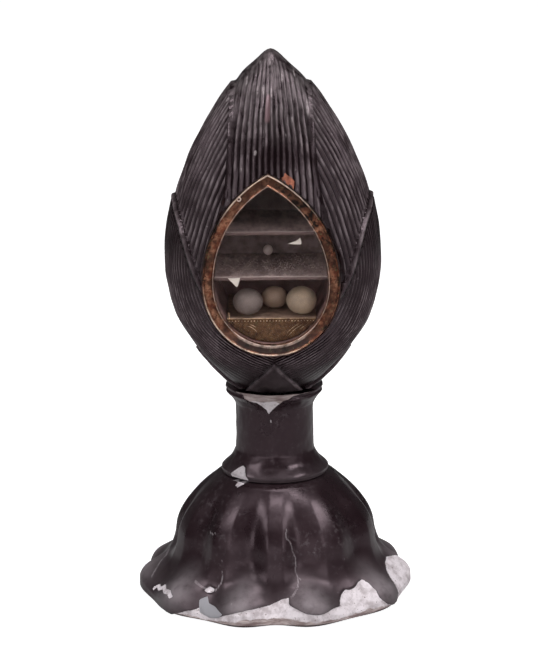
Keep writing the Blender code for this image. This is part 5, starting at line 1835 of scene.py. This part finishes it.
WIRE = wire_tree()
left, right = TO_MILLIMETRES * left, TO_MILLIMETRES * right
edge_height = TO_MILLIMETRES * (LEDGE_TOP - 0.5 * LEDGE_EDGE)
dot_height = edge_height - DOT_DROP
edge_line = (((left + EDGE_INSET, edge_height), (right - EDGE_INSET, edge_height)),)
dot_line = (((left + DOT_INSET, dot_height), (right - DOT_INSET, dot_height)),)
parts = []
for name, lines, y, tree, values in (
    ("rolled_edge", edge_line, front_y + LEDGE_EDGE, WIRE, {"Radius": LEDGE_EDGE, "Taper": 0.0}),
    ("punched_row", dot_line, front_y, dotted_tree(), {"Spacing": DOT_SPACING, "Dot Radius": DOT_RADIUS}),
    ("chased_strokes", STROKES, front_y, WIRE, {"Radius": STROKE_RADIUS, "Taper": 1.0}),
    ("pin", (PIN_LINE,), front_y + PIN_DEPTH, WIRE, {"Radius": PIN_RADIUS, "Taper": 0.0}),
):
    parts.append(guide_lines(name, lines, y))
    run_tree(parts[-1], tree, {**values, "Material": ledge_gilt})
join_meshes(ledge, parts)
order = np.arange(len(ledge.data.vertices))
store(
    ledge.data,
    raised=np.where(order < len(vertices), 0.0, 0.9),
    crusted=0.35,
    settled=np.where((order >= tray) & (order < tray + 4), 0.9, 0.0),
    lip=0.0,
    recess=0.0,
    shaded=0.0,
)
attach(ledge, "root")
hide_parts("relic_ledge")

# The relics: small rounded pebbles of grey, brown and cream stone, rubbed smooth. Three lie in a row
# on the ledge, the middle one farther back, and a very small one lies in the dust of the middle
# shelf.

PEBBLE_DETAIL = 5
# Depths as shares of half a pebble's width
PEBBLE_UNEVENNESS = 0.07
PEBBLE_GRAIN = 0.01
# How many dents and grains there are along it
PEBBLE_DENTS = 1.1
PEBBLE_GRAINS = 6.0


def relic_stone(name, light, dark, cover, scale):
    """Matt stone, cloudy between two colours, with a film of dust."""
    material, tree, sockets = new_material(name, {"Roughness": 0.6})
    colour = blend(speckle(tree, scale, cover, 0.3), light, dark)
    feed(sockets["Base Color"], blend(speckle(tree, 1500.0, 0.5, 0.3) * 0.25, colour, dark))
    return material


def make_relic(node, stone, wide, tall):
    """A pebble about the size of its CAD box, lower or wider by a share, a little uneven."""
    low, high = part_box(node)
    size = 0.5 * (high - low)
    size.x *= wide
    size.z *= tall
    middle = 0.5 * (high + low)
    middle.z = low.z + size.z
    form = bmesh.new()
    bmesh.ops.create_icosphere(form, subdivisions=PEBBLE_DETAIL, radius=1.0)
    for vertex in form.verts:
        vertex.co = middle + vertex.co * size
    mesh = bpy.data.meshes.new(node)
    form.to_mesh(mesh)
    form.free()
    mesh.shade_smooth()
    pebble = new_object(node.replace("relic", "pebble"), mesh)
    run_tree(pebble, WORN, {
        "Dent Depth": PEBBLE_UNEVENNESS * size.x,
        "Dent Scale": PEBBLE_DENTS / size.x,
        "Grain Depth": PEBBLE_GRAIN * size.x,
        "Grain Scale": PEBBLE_GRAINS / size.x,
        "Material": stone,
    })
    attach(pebble, "root")
    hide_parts(node)


GREY_STONE = relic_stone("grey stone", (0.200, 0.150, 0.140), (0.080, 0.062, 0.060), 0.48, 170.0)
BROWN_STONE = relic_stone("brown stone", (0.42, 0.285, 0.215), (0.24, 0.165, 0.13), 0.45, 200.0)
CREAM_STONE = relic_stone("cream stone", (0.310, 0.222, 0.155), (0.150, 0.117, 0.095), 0.42, 190.0)
PALE_STONE = relic_stone("pale grey stone", (0.88, 0.72, 0.69), (0.60, 0.48, 0.46), 0.40, 500.0)
make_relic("relic_left", GREY_STONE, 1.12, 1.00)
make_relic("relic_middle", BROWN_STONE, 1.18, 1.00)
make_relic("relic_right", CREAM_STONE, 1.12, 1.02)
make_relic("relic_small", PALE_STONE, 1.10, 1.10)
